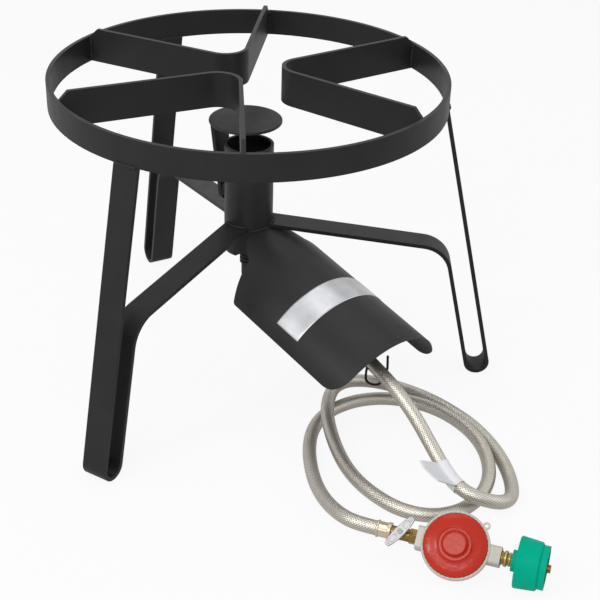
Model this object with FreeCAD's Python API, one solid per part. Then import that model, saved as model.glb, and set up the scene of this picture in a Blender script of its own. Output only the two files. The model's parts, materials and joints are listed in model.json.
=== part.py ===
import FreeCAD, Part
import math
import os

# Outdoor propane cooker: a welded flat-bar stand that carries a jet burner, with a braided gas hose,
# a needle valve and a pressure regulator lying in front of it. Lengths in mm, angles in degrees.
# Pieces are drawn with the burner's axis at x = y = 0 and the floor at z = 0, and moved at the end so
# that the origin is the middle of the stand's footprint. +Z is up and -Y is the front.

Vec = FreeCAD.Vector

# Fits
RUNNING_FIT = 0.05
LOOSE_FIT = 0.3
REST_GAP = 0.2
OVERRUN = 2.0

# Stand: one size of flat bar makes the hoop, the pot supports and the legs
RING_TOP = 343.0
RING_RADIUS = 203.2
BAR_WIDTH = 27.5
BAR_THICK = 4.2
LEG_NAMES = ("right", "back", "left")
FIRST_LEG_ANGLE = -30.0

# Pot supports: deeper bars bent to a V, with the vertex towards the burner, that rise above the hoop
SUPPORT_RISE = 8.8
SUPPORT_HALF_ANGLE = 32.0
SUPPORT_CORNER_REACH = 17.0
SUPPORT_BEND = 23.0

# Hairpin legs: splayed outer bar, U-shaped foot, inner bar, knee and strut in one bent bar
FOOT_BEND = 12.0
LEG_SPLAY = 13.06
STRUT_HEIGHT = 176.5
STRUT_SLOPE = 6.5
STRUT_KNEE_BEND = 34.0

# Burner tube with its flame spreader
TUBE_RADIUS = 26.0
TUBE_WALL = 3.0
TUBE_BELOW_STRUTS = 29.5
TUBE_BOTTOM = STRUT_HEIGHT - TUBE_BELOW_STRUTS
SPREADER_BELOW_RING = 51.5
SPREADER_TOP = RING_TOP - SPREADER_BELOW_RING
SPREADER_RADIUS = 38.1
SPREADER_THICK = 3.0
TUBE_MOUTH_GAP = 26.5
TUBE_TOP = SPREADER_TOP - TUBE_MOUTH_GAP
SPREADER_OFFSET = 4.5
STRAP_ANGLE = 120.0
STRAP_WIDTH = 25.0
STRAP_ABOVE_STRUTS = 19.5
STRAP_BOTTOM = STRUT_HEIGHT + STRAP_ABOVE_STRUTS
STRAP_HEEL = 8.0
STRAP_BEND = 20.0
STRAP_TOP_STAND_OFF = 11.5
STRAP_CORNER = 9.0

# Heat shield: an arched sheet that slopes down over the inlet, notched round the tube
SHIELD_YAW = 13.75
SHIELD_RADIUS = 76.7
SHIELD_LEFT_ANGLE = 64.2
SHIELD_RIGHT_ANGLE = 80.0
SHIELD_SLOPE = 12.8
SHIELD_THICK = 1.6
SHIELD_AXIS_BACK = 50.6
SHIELD_BELOW_STRUTS = 85.7
SHIELD_AXIS_HEIGHT = STRUT_HEIGHT - SHIELD_BELOW_STRUTS
SHIELD_LENGTH = 160.4
SHIELD_SIDE_BACK = 18.5
SHIELD_SIDE_SHARE = 0.86
SHIELD_CROWN_BACK = 45.0
SHIELD_CROWN_SHARE = 0.952
SHIELD_CROWN_FRONT = 3.6
SHIELD_FRONT_CORNER = 23.0
SHIELD_REAR_CORNER = 5.0

# Gas inlet under the tube: bracket, jet, elbow, swivel nut and ferrule
BRACKET_WIDTH = 16.0
BRACKET_THICK = 3.0
JET_THREAD_RADIUS = 5.0
JET_HEX = 14.0
JET_HEX_HEIGHT = 8.0
JET_NOSE_HEIGHT = 12.0
JET_NOSE_RADIUS = 2.2
JET_BORE_RADIUS = 0.8
ELBOW_RADIUS = 7.5
ELBOW_BORE = 4.5
ELBOW_BELOW_TUBE = 35.0
ELBOW_AXIS_HEIGHT = TUBE_BOTTOM - ELBOW_BELOW_TUBE
ELBOW_ARM = 24.0
ELBOW_BAND_RADIUS = 9.2
ELBOW_BAND_HEIGHT = 2.2
ELBOW_BAND_STEP = 4.0
ELBOW_BANDS = 3
HOSE_NUT_HEX = 17.5
HOSE_NUT_LENGTH = 18.0
HOSE_NUT_COLLAR_RADIUS = 7.8
HOSE_NUT_COLLAR_LENGTH = 6.0

# Braided hose and its crimped ferrules
HOSE_DIAMETER = 14.0
HOSE_FLOOR_GAP = 0.25
FERRULE_WALL = 0.4
FERRULE_RADIUS = HOSE_DIAMETER / 2 + FERRULE_WALL
FERRULE_LENGTH = 13.5
FERRULE_LIP = 0.8
FERRULE_LIP_LENGTH = 3.0

# The hose from the ferrule under the shield to the one at the valve: the drop, two loose loops, the end.
# A point of the drop has the share of the elbow's height that is left, and one of the loops has the height
# of the hose's axis over where it is when the hose lies on the floor.
HOSE_DROP = [(31.4, -128.2, 0.962), (38.5, -163.0, 0.881), (45.3, -197.5, 0.796), (50.3, -229.7, 0.71),
             (55.8, -257.7, 0.558), (60.0, -280.5, 0.377), (61.4, -303.2, 0.248)]
HOSE_FIRST_LOOP = [(61.0, -322.0, 20.4), (64.5, -341.0, 18.4), (77.5, -354.0, 14.4), (95.0, -358.5, 7.9),
                   (112.5, -351.0, 2.2), (125.5, -334.5, 0.0), (135.5, -314.0, 0.0), (143.5, -290.0, 0.0),
                   (148.5, -262.0, 0.0), (149.6, -231.0, 0.0), (144.0, -199.0, 0.0), (134.5, -168.0, 0.0),
                   (119.0, -139.0, 0.0), (99.0, -116.5, 0.9), (72.6, -109.0, 5.9), (46.0, -120.5, 13.6),
                   (25.6, -141.2, 17.4), (9.4, -166.0, 16.9), (-0.6, -195.0, 9.8), (-6.1, -226.0, 2.0)]
HOSE_SECOND_LOOP = [(-7.6, -256.0, 0.0), (-3.6, -286.0, 0.0), (6.6, -315.2, 0.0), (27.9, -336.9, 0.0),
                    (57.2, -343.5, 0.0), (87.0, -335.0, 0.3), (111.5, -316.0, 1.5), (127.5, -290.5, 3.6),
                    (135.6, -262.0, 5.6), (136.2, -230.0, 5.8), (128.8, -196.5, 4.8), (111.5, -165.0, 2.2),
                    (84.0, -143.5, 0.3), (53.0, -137.5, 0.0), (20.0, -144.0, 0.0), (-6.3, -163.9, 0.0),
                    (-25.9, -192.7, 0.0), (-39.5, -222.6, 0.2), (-49.2, -251.5, 2.4), (-55.7, -281.5, 7.9),
                    (-57.0, -310.0, 14.0)]
HOSE_END_RUN = 20.0
ARC_SHARE = 0.45

# Gas train on the hose's far end: port axis level, regulator face leaning back from it
TRAIN_PLACE = (13.2, -398.65)
TRAIN_HEADING = -47.0
REGULATOR_LEAN = 50.0

# Regulator: die-cast bowl with two port bosses, crimped rim, pressed cover
RIM_RADIUS = 31.6
RIM_WALL = 1.3
RIM_BASE = 4.3
RIM_LIP = 0.9
RIM_LIP_THICK = 0.8
BOWL_RADIUS = 29.0
BOWL_WAIST_RADIUS = 25.0
BOWL_WAIST_DEPTH = 7.0
BOWL_DEPTH = 20.0
BOWL_NECK_DEPTH = 12.0
CHAMBER_RADIUS = 20.0
CHAMBER_DEPTH = 9.0
OUTLET_BOSS_REACH = 36.2
OUTLET_BOSS_WIDTH = 21.5
INLET_BOSS_REACH = 41.3
INLET_BOSS_WIDTH = 17.5
BOSS_HEIGHT = 17.0
PORT_THREAD_RADIUS = RIM_BASE + RIM_WALL / 2
PORT_THREAD_DEPTH = 10.0
PORT_BORE = 3.5
LUG_RADIUS = 3.4
LUG_HOLE = 1.7
LUG_THICK = 2.0
LUG_ANGLE = 45.0
COVER_THICK = 1.2
COVER_SHOULDER_RADIUS = 29.2
COVER_SHOULDER_RISE = 2.3
COVER_STEP_RADIUS = 15.2
COVER_STEP_RISE = 6.0
COVER_BOSS_RADIUS = 11.8
COVER_BOSS_RISE = 7.4
COVER_TOP_RISE = 11.6
COVER_TOP_RADIUS = 10.2
COVER_EDGE_ROUND = 0.5
DIAPHRAGM_THICK = 1.0
DIAPHRAGM_HOLE = 11.0

# Inside the regulator: plate and spring on the diaphragm, lever on its pin, seat plug in its sleeve
PLATE_RADIUS = 14.0
PLATE_THICK = 1.2
PLATE_STEM_RADIUS = 2.0
DIAPHRAGM_TRAVEL = 1.5
SPRING_RADIUS = 7.6
SPRING_WIRE = 1.4
LEVER_PIVOT_OUT = 9.0
LEVER_PIVOT_DEPTH = 4.5
LEVER_THICK = 1.5
LEVER_WIDTH = 4.0
LEVER_TIP = 0.5
LEVER_HUB_RADIUS = 2.2
LEVER_SHORT_ARM = 4.9
LEVER_EAR_GAP = 0.2
EAR_THICK = 2.5
EAR_HALF_WIDTH = 2.2
PIN_RADIUS = 1.0
PLUG_RADIUS = 2.5
PLUG_LENGTH = 7.0
SLEEVE_RADIUS = 4.6
SLEEVE_OVERLAP = 5.0
ORIFICE_RADIUS = 1.2

# Needle valve between the hose and the regulator
VALVE_LENGTH = 24.5
VALVE_HEX = 13.0
VALVE_HEX_LENGTH = 7.0
VALVE_RADIUS = 5.9
VALVE_STEM_FROM_BOSS = 15.0
VALVE_TOWER_RADIUS = 4.8
VALVE_TOWER_HEIGHT = 7.4
PACKING_HEX = 9.5
PACKING_HEIGHT = 2.6
STEM_RADIUS = 2.2
STEM_FOOT = 1.0
HANDLE_LENGTH = 33.4
HANDLE_WIDTH = 7.2
HANDLE_CORNER_SHARE = 0.33
HANDLE_THICK = 2.6
HANDLE_HUB_RADIUS = 4.4
HANDLE_HUB_HEIGHT = 3.0
STEM_HEIGHT = VALVE_TOWER_HEIGHT + PACKING_HEIGHT + REST_GAP + HANDLE_HUB_HEIGHT
HANDLE_REST_ANGLE = 58.0
SCREW_HEAD_RADIUS = 2.4
SCREW_HEAD_HEIGHT = 1.6
SCREW_RADIUS = 1.2
SCREW_LENGTH = 5.0
SCREW_SLOT = 0.7

# Cylinder coupling: brass nipple, sealing ring, bushing and the hand nut that turns on it
NIPPLE_HEX = 14.0
NIPPLE_HEX_LENGTH = 9.0
NIPPLE_RADIUS = 6.0
NIPPLE_BORE = 2.5
NIPPLE_SHOULDER_RADIUS = 12.0
NIPPLE_SHOULDER_LENGTH = 3.0
NIPPLE_TIP_RADIUS = 3.7
NIPPLE_TIP_LENGTH = 7.0
NIPPLE_PROUD = 3.3
SEAL_WIRE = 1.4
BUSHING_LENGTH = 3.0
NUT_RADIUS = 23.75
NUT_TAPER = 1.6
NUT_LENGTH = 21.0
NUT_FLANGE_RADIUS = 20.0
NUT_FLANGE_LENGTH = 6.0
NUT_COLLAR_RADIUS = 9.8
NUT_COLLAR_LENGTH = 4.5
NUT_WALL = 3.5
NUT_THREAD_RADIUS = 16.7
NUT_SCALLOPS = 6
NUT_SCALLOP_DEPTH = 0.9
NUT_SCALLOP_RADIUS = 2.6
NUT_COLLAR_START = 1.0


def turned(shape, degrees):
    """Copy of a shape turned about the burner's axis."""
    copy = shape.copy()
    copy.rotate(Vec(0, 0, 0), Vec(0, 0, 1), degrees)
    return copy


def corner(before, point, after, radius, side):
    """Arc round one corner of a path, offset to the left of it by side: start, middle and end points."""
    first = (point - before).normalize()
    second = (after - point).normalize()
    turn = math.atan2(first.x * second.y - first.y * second.x, first.dot(second))
    way = math.copysign(1.0, turn)
    reach = radius * math.tan(abs(turn) / 2)
    start = point - first * reach
    centre = start + Vec(-first.y, first.x, 0) * (way * radius)
    arm = radius - way * side
    end = point + second * reach
    return [centre + (spot - centre).normalize() * arm for spot in (start, point, end)]


def side_edges(points, radii, side):
    """Edges of a bent path in the XY plane, offset to its left by side. Ends are square."""
    normal = [Vec(-(b - a).y, (b - a).x, 0).normalize() for a, b in zip(points, points[1:])]
    last = points[0] + normal[0] * side
    edges = []
    for index, radius in enumerate(radii):
        start, middle, end = corner(*points[index:index + 3], radius, side)
        if last.distanceToPoint(start) > FreeCAD.Base.Precision.confusion():
            edges.append(Part.LineSegment(last, start).toShape())
        edges.append(Part.Arc(start, middle, end).toShape())
        last = end
    edges.append(Part.LineSegment(last, points[-1] + normal[-1] * side).toShape())
    return edges


def bent_bar(points, radii, thick, width):
    """Flat bar bent along a path in the XY plane, as wide as width along Z and centred on the plane."""
    left = side_edges(points, radii, thick / 2)
    right = side_edges(points, radii, -thick / 2)
    caps = [Part.LineSegment(left[-1].lastVertex().Point, right[-1].lastVertex().Point).toShape(),
            Part.LineSegment(right[0].firstVertex().Point, left[0].firstVertex().Point).toShape()]
    outline = Part.Wire(Part.__sortEdges__(left + caps + right))
    bar = Part.Face(outline).extrude(Vec(0, 0, width))
    bar.translate(Vec(0, 0, -width / 2))
    return bar


def upright(shape):
    """Turn a shape drawn in XY so that X is outward from the burner, Y is up and Z is sideways."""
    shape.rotate(Vec(0, 0, 0), Vec(1, 0, 0), 90)
    return shape


def rounded_face(points, radii):
    """Flat face of a closed outline in the XY plane, with a radius for each corner, zero for a sharp one."""
    count = len(points)
    spots = []
    for index, (point, radius) in enumerate(zip(points, radii)):
        if radius:
            spots.append(corner(points[index - 1], point, points[(index + 1) % count], radius, 0))
        else:
            spots.append([point, None, point])
    edges = []
    for spot, following in zip(spots, spots[1:] + spots[:1]):
        if spot[1]:
            edges.append(Part.Arc(*spot).toShape())
        edges.append(Part.LineSegment(spot[2], following[0]).toShape())
    return Part.Face(Part.Wire(edges))


def turning(profile, axis):
    """Solid of revolution from (along, radius) pairs, about X or Z."""
    if axis == "x":
        corners = [Vec(along, radius, 0) for along, radius in profile]
        direction = Vec(1, 0, 0)
    else:
        corners = [Vec(radius, 0, along) for along, radius in profile]
        direction = Vec(0, 0, 1)
    return Part.Face(Part.makePolygon(corners + corners[:1])).revolve(Vec(0, 0, 0), direction, 360)


def rod(start, end, radius):
    """Round bar between two points."""
    return Part.makeCylinder(radius, start.distanceToPoint(end), start, end - start)


def hexagon(flats, start, end):
    """Hexagonal bar between two points, with its width across flats."""
    axis = end - start
    six = []
    for index in range(6):
        angle = math.radians(60 * index)
        six.append(Vec(math.cos(angle), math.sin(angle), 0) * (flats / math.sqrt(3)))
    bar = Part.Face(Part.makePolygon(six + six[:1])).extrude(Vec(0, 0, axis.Length))
    bar.Placement = FreeCAD.Placement(start, FreeCAD.Rotation(Vec(0, 0, 1), axis))
    return bar


def block(low, high):
    """Box between two corners."""
    size = high - low
    return Part.makeBox(size.x, size.y, size.z, low)


def top_ring():
    """Hoop of flat bar on edge."""
    base = RING_TOP - BAR_WIDTH
    outer = Part.makeCylinder(RING_RADIUS, BAR_WIDTH, Vec(0, 0, base))
    inner = Part.makeCylinder(RING_RADIUS - BAR_THICK, BAR_WIDTH + OVERRUN, Vec(0, 0, base - OVERRUN / 2))
    return outer.cut(inner)


def pot_support():
    """V of flat bar on edge, open towards +X, its arms ending on the inside of the hoop."""
    inside = RING_RADIUS - BAR_THICK
    width = BAR_WIDTH + SUPPORT_RISE
    half = math.radians(SUPPORT_HALF_ANGLE)
    vertex = Vec(SUPPORT_CORNER_REACH, 0, 0)
    arms = []
    for way in (1, -1):
        end = Vec(inside * math.cos(half), way * inside * math.sin(half), 0)
        arms.append(end + (end - vertex).normalize() * BAR_WIDTH)
    bar = bent_bar([arms[0], vertex, arms[1]], [SUPPORT_BEND], BAR_THICK, width)
    bar.translate(Vec(0, 0, RING_TOP - BAR_WIDTH + width / 2))
    clipped = Part.makeCone(inside, inside - SUPPORT_RISE, SUPPORT_RISE, Vec(0, 0, RING_TOP))
    return bar.common(Part.makeCylinder(inside, RING_TOP).fuse(clipped))


def leg():
    """Hairpin leg towards +X: splayed bar under the hoop, U foot, inner bar, knee, strut to the tube."""
    splay = math.radians(LEG_SPLAY)
    slope = math.radians(STRUT_SLOPE)
    out = Vec(math.cos(splay), math.sin(splay), 0)
    up = Vec(-math.sin(splay), math.cos(splay), 0)
    weld = Vec(RING_RADIUS - BAR_THICK / 2, RING_TOP - BAR_WIDTH, 0)
    foot_height = FOOT_BEND + BAR_THICK / 2
    outer = weld - up * ((weld.y - foot_height - FOOT_BEND * out.y) / up.y)
    inner = outer - out * (2 * FOOT_BEND)
    strut_start = Vec(TUBE_RADIUS, STRUT_HEIGHT, 0)
    strut_way = Vec(math.cos(slope), -math.sin(slope), 0)
    gap = inner - strut_start
    knee_run = (gap.x * up.y - gap.y * up.x) / (strut_way.x * up.y - strut_way.y * up.x)
    points = [weld + up * BAR_THICK, outer - up * FOOT_BEND, inner - up * FOOT_BEND,
              strut_start + strut_way * knee_run, strut_start - strut_way * (BAR_WIDTH / 2)]
    bar = upright(bent_bar(points, [FOOT_BEND, FOOT_BEND, STRUT_KNEE_BEND], BAR_THICK, BAR_WIDTH))
    above = block(Vec(0, -BAR_WIDTH, weld.y), Vec(RING_RADIUS + BAR_WIDTH, BAR_WIDTH, RING_TOP))
    return bar.cut(above).cut(Part.makeCylinder(TUBE_RADIUS, RING_TOP))


def burner_tube():
    """Open tube in which gas and air mix and burn."""
    outer = Part.makeCylinder(TUBE_RADIUS, TUBE_TOP - TUBE_BOTTOM, Vec(0, 0, TUBE_BOTTOM))
    inner = Part.makeCylinder(TUBE_RADIUS - TUBE_WALL, TUBE_TOP, Vec(0, 0, TUBE_BOTTOM - OVERRUN))
    return outer.cut(inner)


def flame_spreader():
    """Flat disc over the tube's mouth, a little towards its strap."""
    disc = Part.makeCylinder(SPREADER_RADIUS, SPREADER_THICK,
                             Vec(SPREADER_OFFSET, 0, SPREADER_TOP - SPREADER_THICK))
    disc = disc.makeFillet(SPREADER_THICK / 3, [edge for edge in disc.Edges if edge.Closed])
    return turned(disc, STRAP_ANGLE)


def spreader_strap():
    """Strip welded to the tube's side that leans out and carries the disc near its rim."""
    flat = TUBE_RADIUS + BAR_THICK / 2
    points = [Vec(flat, STRAP_BOTTOM, 0), Vec(flat, STRAP_BOTTOM + STRAP_HEEL, 0),
              Vec(flat + STRAP_TOP_STAND_OFF, SPREADER_TOP - SPREADER_THICK + OVERRUN, 0)]
    strap = upright(bent_bar(points, [STRAP_BEND], BAR_THICK, STRAP_WIDTH))
    reach = TUBE_RADIUS + SPREADER_RADIUS
    half = STRAP_WIDTH / 2
    face = rounded_face([Vec(-half, STRAP_BOTTOM, 0), Vec(half, STRAP_BOTTOM, 0),
                         Vec(half, SPREADER_TOP - SPREADER_THICK, 0), Vec(-half, SPREADER_TOP - SPREADER_THICK, 0)],
                        [STRAP_CORNER, STRAP_CORNER, 0, 0])
    face.rotate(Vec(0, 0, 0), Vec(1, 0, 0), 90)
    face.rotate(Vec(0, 0, 0), Vec(0, 0, 1), 90)
    return turned(strap.common(face.extrude(Vec(reach, 0, 0))), STRAP_ANGLE)


def shield_outline(edge_angle):
    """Side outline of one half of the shield: its X along the arch's axis, its Y the height over that axis."""
    base = SHIELD_RADIUS * math.cos(math.radians(SHIELD_LEFT_ANGLE))
    low = SHIELD_RADIUS * math.cos(math.radians(edge_angle))
    step = SHIELD_RADIUS * SHIELD_SIDE_SHARE
    crown = SHIELD_RADIUS * SHIELD_CROWN_SHARE
    top = SHIELD_RADIUS + OVERRUN
    rear_lean = SHIELD_SIDE_BACK / (step - base)
    front_lean = SHIELD_CROWN_FRONT / (SHIELD_RADIUS - base)
    return [Vec(rear_lean * (base - low), low, 0), Vec(SHIELD_LENGTH + front_lean * (low - base), low, 0),
            Vec(SHIELD_LENGTH + front_lean * (top - base), top, 0), Vec(-SHIELD_CROWN_BACK, top, 0),
            Vec(-SHIELD_CROWN_BACK, crown, 0), Vec(-SHIELD_SIDE_BACK, step, 0)]


def heat_shield():
    """Arched sheet drawn with its axis along X, cut to its side outline, then sloped, placed and notched."""
    start = -SHIELD_CROWN_BACK - OVERRUN
    length = SHIELD_LENGTH + SHIELD_CROWN_FRONT - start + OVERRUN
    outer = Part.makeCylinder(SHIELD_RADIUS, length, Vec(start, 0, 0), Vec(1, 0, 0))
    arch = outer.cut(Part.makeCylinder(SHIELD_RADIUS - SHIELD_THICK, length, Vec(start, 0, 0), Vec(1, 0, 0)))
    halves = []
    for way, angle in ((1, SHIELD_RIGHT_ANGLE), (-1, SHIELD_LEFT_ANGLE)):
        side = rounded_face(shield_outline(angle), [SHIELD_REAR_CORNER, SHIELD_FRONT_CORNER, 0, 0, 0, 0])
        side.rotate(Vec(0, 0, 0), Vec(1, 0, 0), 90)
        halves.append(arch.common(side.extrude(Vec(0, way * (SHIELD_RADIUS + OVERRUN), 0))))
    sheet = halves[0].fuse(halves[1]).removeSplitter()
    sheet.rotate(Vec(0, 0, 0), Vec(0, 1, 0), SHIELD_SLOPE)
    sheet.translate(Vec(SHIELD_AXIS_BACK, 0, SHIELD_AXIS_HEIGHT))
    sheet = turned(sheet, SHIELD_YAW - 90)
    return sheet.cut(Part.makeCylinder(TUBE_RADIUS, RING_TOP))


def inlet_turned(shape):
    """Turn a piece drawn towards +X to the shield's heading."""
    return turned(shape, SHIELD_YAW - 90)


def orifice_bracket():
    """Strip welded across the tube's lower end, drilled for the jet, with the air openings beside it."""
    half = BRACKET_WIDTH / 2
    base = TUBE_BOTTOM - BRACKET_THICK
    strip = block(Vec(-half, -TUBE_RADIUS, base), Vec(half, TUBE_RADIUS, TUBE_BOTTOM))
    strip = strip.common(Part.makeCylinder(TUBE_RADIUS, RING_TOP))
    hole = Part.makeCylinder(JET_THREAD_RADIUS, BRACKET_THICK + OVERRUN, Vec(0, 0, base - OVERRUN / 2))
    return inlet_turned(strip.cut(hole))


def jet_orifice():
    """Brass jet through the bracket: hexagon below, drilled nose above."""
    base = TUBE_BOTTOM - BRACKET_THICK
    body = hexagon(JET_HEX, Vec(0, 0, base - JET_HEX_HEIGHT), Vec(0, 0, base))
    nose = turning([(base, 0), (base, JET_THREAD_RADIUS), (TUBE_BOTTOM, JET_THREAD_RADIUS),
                    (TUBE_BOTTOM + JET_NOSE_HEIGHT, JET_NOSE_RADIUS), (TUBE_BOTTOM + JET_NOSE_HEIGHT, 0)], "z")
    bore = Part.makeCylinder(JET_BORE_RADIUS, TUBE_BOTTOM, Vec(0, 0, base - JET_HEX_HEIGHT))
    return inlet_turned(body.fuse(nose).cut(bore).removeSplitter())


def inlet_elbow():
    """Elbow that turns the gas from the hose up into the jet, with rolled bands under the jet."""
    top = TUBE_BOTTOM - BRACKET_THICK - JET_HEX_HEIGHT
    bend = Vec(0, 0, ELBOW_AXIS_HEIGHT)
    end = Vec(ELBOW_ARM, 0, ELBOW_AXIS_HEIGHT)
    body = rod(bend, Vec(0, 0, top), ELBOW_RADIUS).fuse(rod(bend, end, ELBOW_RADIUS))
    body = body.fuse(Part.makeSphere(ELBOW_RADIUS, bend))
    for index in range(ELBOW_BANDS):
        height = top - ELBOW_BAND_HEIGHT - index * ELBOW_BAND_STEP
        body = body.fuse(Part.makeCylinder(ELBOW_BAND_RADIUS, ELBOW_BAND_HEIGHT, Vec(0, 0, height)))
    bore = rod(bend, Vec(0, 0, top + OVERRUN), ELBOW_BORE).fuse(rod(bend, end + Vec(OVERRUN, 0, 0), ELBOW_BORE))
    return inlet_turned(body.cut(bore.fuse(Part.makeSphere(ELBOW_BORE, bend))).removeSplitter())


def swivel_nut():
    """Hexagonal nut that holds the hose to the elbow."""
    start = Vec(ELBOW_ARM, 0, ELBOW_AXIS_HEIGHT)
    hex_end = start + Vec(HOSE_NUT_LENGTH - HOSE_NUT_COLLAR_LENGTH, 0, 0)
    end = start + Vec(HOSE_NUT_LENGTH, 0, 0)
    nut = hexagon(HOSE_NUT_HEX, start, hex_end).fuse(rod(hex_end, end, HOSE_NUT_COLLAR_RADIUS))
    return inlet_turned(nut.cut(rod(start, end, ELBOW_BORE)).removeSplitter())


def ferrule():
    """Crimped sleeve along +X with a lip at each end."""
    lip = FERRULE_RADIUS + FERRULE_LIP
    profile = [(0, 0), (0, lip), (FERRULE_LIP_LENGTH, lip), (FERRULE_LIP_LENGTH, FERRULE_RADIUS),
               (FERRULE_LENGTH - FERRULE_LIP_LENGTH / 2, FERRULE_RADIUS),
               (FERRULE_LENGTH - FERRULE_LIP_LENGTH / 2, lip), (FERRULE_LENGTH, lip), (FERRULE_LENGTH, 0)]
    return turning(profile, "x")


def burner_ferrule():
    """Ferrule on the hose's end at the swivel nut."""
    sleeve = ferrule()
    sleeve.translate(Vec(ELBOW_ARM + HOSE_NUT_LENGTH, 0, ELBOW_AXIS_HEIGHT))
    return inlet_turned(sleeve)


def train_placement():
    """Place of the gas train: X along the ports towards the cylinder, Z out of the regulator's cover."""
    heading = math.radians(TRAIN_HEADING)
    lean = math.radians(REGULATOR_LEAN)
    along = Vec(math.cos(heading), math.sin(heading), 0)
    front = Vec(math.sin(heading), -math.cos(heading), 0)
    face = front * math.cos(lean) + Vec(0, 0, math.sin(lean))
    spin = FreeCAD.Rotation(along, face.cross(along), face)
    return FreeCAD.Placement(Vec(TRAIN_PLACE[0], TRAIN_PLACE[1], NUT_RADIUS), spin)


def in_train(shape):
    """Move a piece drawn in the gas train's own frame to its place on the floor."""
    shape.Placement = train_placement().multiply(shape.Placement)
    return shape


def rim_levels():
    """Heights above the port axis: rim ledge, top of the diaphragm, underside of the rim's lip, top of the rim."""
    diaphragm = RIM_BASE + RIM_WALL
    flange = diaphragm + DIAPHRAGM_THICK
    lip = flange + COVER_THICK
    return diaphragm, flange, lip, lip + RIM_LIP_THICK


def plug_start():
    """Where the seat plug's back stands along the port axis, just clear of the lever's short arm."""
    return LEVER_PIVOT_OUT + LEVER_THICK / 2 + REST_GAP


def plug_travel():
    """How far the plug moves while the diaphragm makes its whole travel."""
    return DIAPHRAGM_TRAVEL / LEVER_PIVOT_OUT * LEVER_PIVOT_DEPTH


def port_boss(reach, width):
    """Boss on the regulator's side, from its middle out to reach along X, with filleted long edges."""
    half = width / 2
    boss = block(Vec(0, -half, -BOSS_HEIGHT / 2), Vec(reach, half, BOSS_HEIGHT / 2))
    long_edges = [edge for edge in boss.Edges if abs(edge.tangentAt(edge.FirstParameter).x) > 1 / 2]
    return boss.makeFillet(BOSS_HEIGHT / 6, long_edges)


def regulator_body():
    """Bowl with port bosses, a rim crimped over the cover, a hanging lug, and the lever's ears inside."""
    ledge, flange, lip, top = rim_levels()
    lean = math.radians(REGULATOR_LEAN)
    heel = (NUT_RADIUS - BOWL_DEPTH * math.sin(lean)) / math.cos(lean)
    inside = RIM_RADIUS - RIM_WALL
    mouth = inside - RIM_LIP
    bowl = turning([(-BOWL_DEPTH, 0), (-BOWL_DEPTH, heel), (-BOWL_NECK_DEPTH, heel),
                    (-BOWL_WAIST_DEPTH, BOWL_WAIST_RADIUS), (RIM_BASE, BOWL_RADIUS), (RIM_BASE, RIM_RADIUS),
                    (top, RIM_RADIUS), (top, 0)], "z")
    room = turning([(ledge, 0), (ledge, inside), (lip, inside), (lip, mouth), (top + OVERRUN, mouth),
                    (top + OVERRUN, 0)], "z")
    outlet = port_boss(OUTLET_BOSS_REACH, OUTLET_BOSS_WIDTH)
    outlet.rotate(Vec(0, 0, 0), Vec(0, 0, 1), 180)
    inlet = port_boss(INLET_BOSS_REACH, INLET_BOSS_WIDTH)
    chamber = Part.makeCylinder(CHAMBER_RADIUS, CHAMBER_DEPTH + ledge, Vec(0, 0, -CHAMBER_DEPTH))
    body = bowl.fuse(outlet).fuse(inlet).cut(room).cut(chamber)
    pivot_height = -LEVER_PIVOT_DEPTH
    for way in (1, -1):
        near = LEVER_WIDTH / 2 + LEVER_EAR_GAP
        sides = sorted((way * near, way * (near + EAR_THICK)))
        body = body.fuse(block(Vec(LEVER_PIVOT_OUT - EAR_HALF_WIDTH, sides[0], -CHAMBER_DEPTH),
                               Vec(LEVER_PIVOT_OUT + EAR_HALF_WIDTH, sides[1], pivot_height + EAR_HALF_WIDTH)))
    seat = plug_start() + PLUG_LENGTH + plug_travel() + REST_GAP
    sleeve_start = seat - SLEEVE_OVERLAP
    body = body.fuse(rod(Vec(sleeve_start, 0, 0), Vec(CHAMBER_RADIUS + OVERRUN, 0, 0), SLEEVE_RADIUS))
    lug_out = RIM_RADIUS + LUG_HOLE
    lug = Part.makeCylinder(LUG_RADIUS, LUG_THICK, Vec(lug_out, 0, top - LUG_THICK))
    hole = Part.makeCylinder(LUG_HOLE, LUG_THICK + OVERRUN, Vec(lug_out, 0, top - LUG_THICK - OVERRUN / 2))
    lug = turned(lug.cut(Part.makeCylinder(RIM_RADIUS - RIM_WALL / 2, top)), LUG_ANGLE)
    body = body.fuse(lug).cut(turned(hole, LUG_ANGLE))
    thread = Vec(INLET_BOSS_REACH - PORT_THREAD_DEPTH, 0, 0)
    cuts = [rod(Vec(sleeve_start - OVERRUN, 0, 0), Vec(seat, 0, 0), PLUG_RADIUS + RUNNING_FIT),
            rod(Vec(seat, 0, 0), thread, ORIFICE_RADIUS),
            rod(thread, Vec(INLET_BOSS_REACH + OVERRUN, 0, 0), PORT_THREAD_RADIUS),
            rod(Vec(-OUTLET_BOSS_REACH - OVERRUN, 0, 0), Vec(PORT_THREAD_DEPTH - OUTLET_BOSS_REACH, 0, 0),
                PORT_THREAD_RADIUS),
            rod(Vec(-OUTLET_BOSS_REACH, 0, 0), Vec(-CHAMBER_RADIUS + OVERRUN, 0, 0), PORT_BORE),
            pin_rod()]
    for cut in cuts:
        body = body.cut(cut)
    return in_train(body.removeSplitter())


def cover_profile():
    """Outline of the cover's dome from flange to top: (height, radius) pairs."""
    flange = rim_levels()[1]
    return [(flange + COVER_THICK, COVER_SHOULDER_RADIUS), (flange + COVER_SHOULDER_RISE, COVER_SHOULDER_RADIUS),
            (flange + COVER_STEP_RISE, COVER_STEP_RADIUS), (flange + COVER_BOSS_RISE, COVER_STEP_RADIUS),
            (flange + COVER_BOSS_RISE, COVER_BOSS_RADIUS), (flange + COVER_TOP_RISE, COVER_TOP_RADIUS)]


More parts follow.
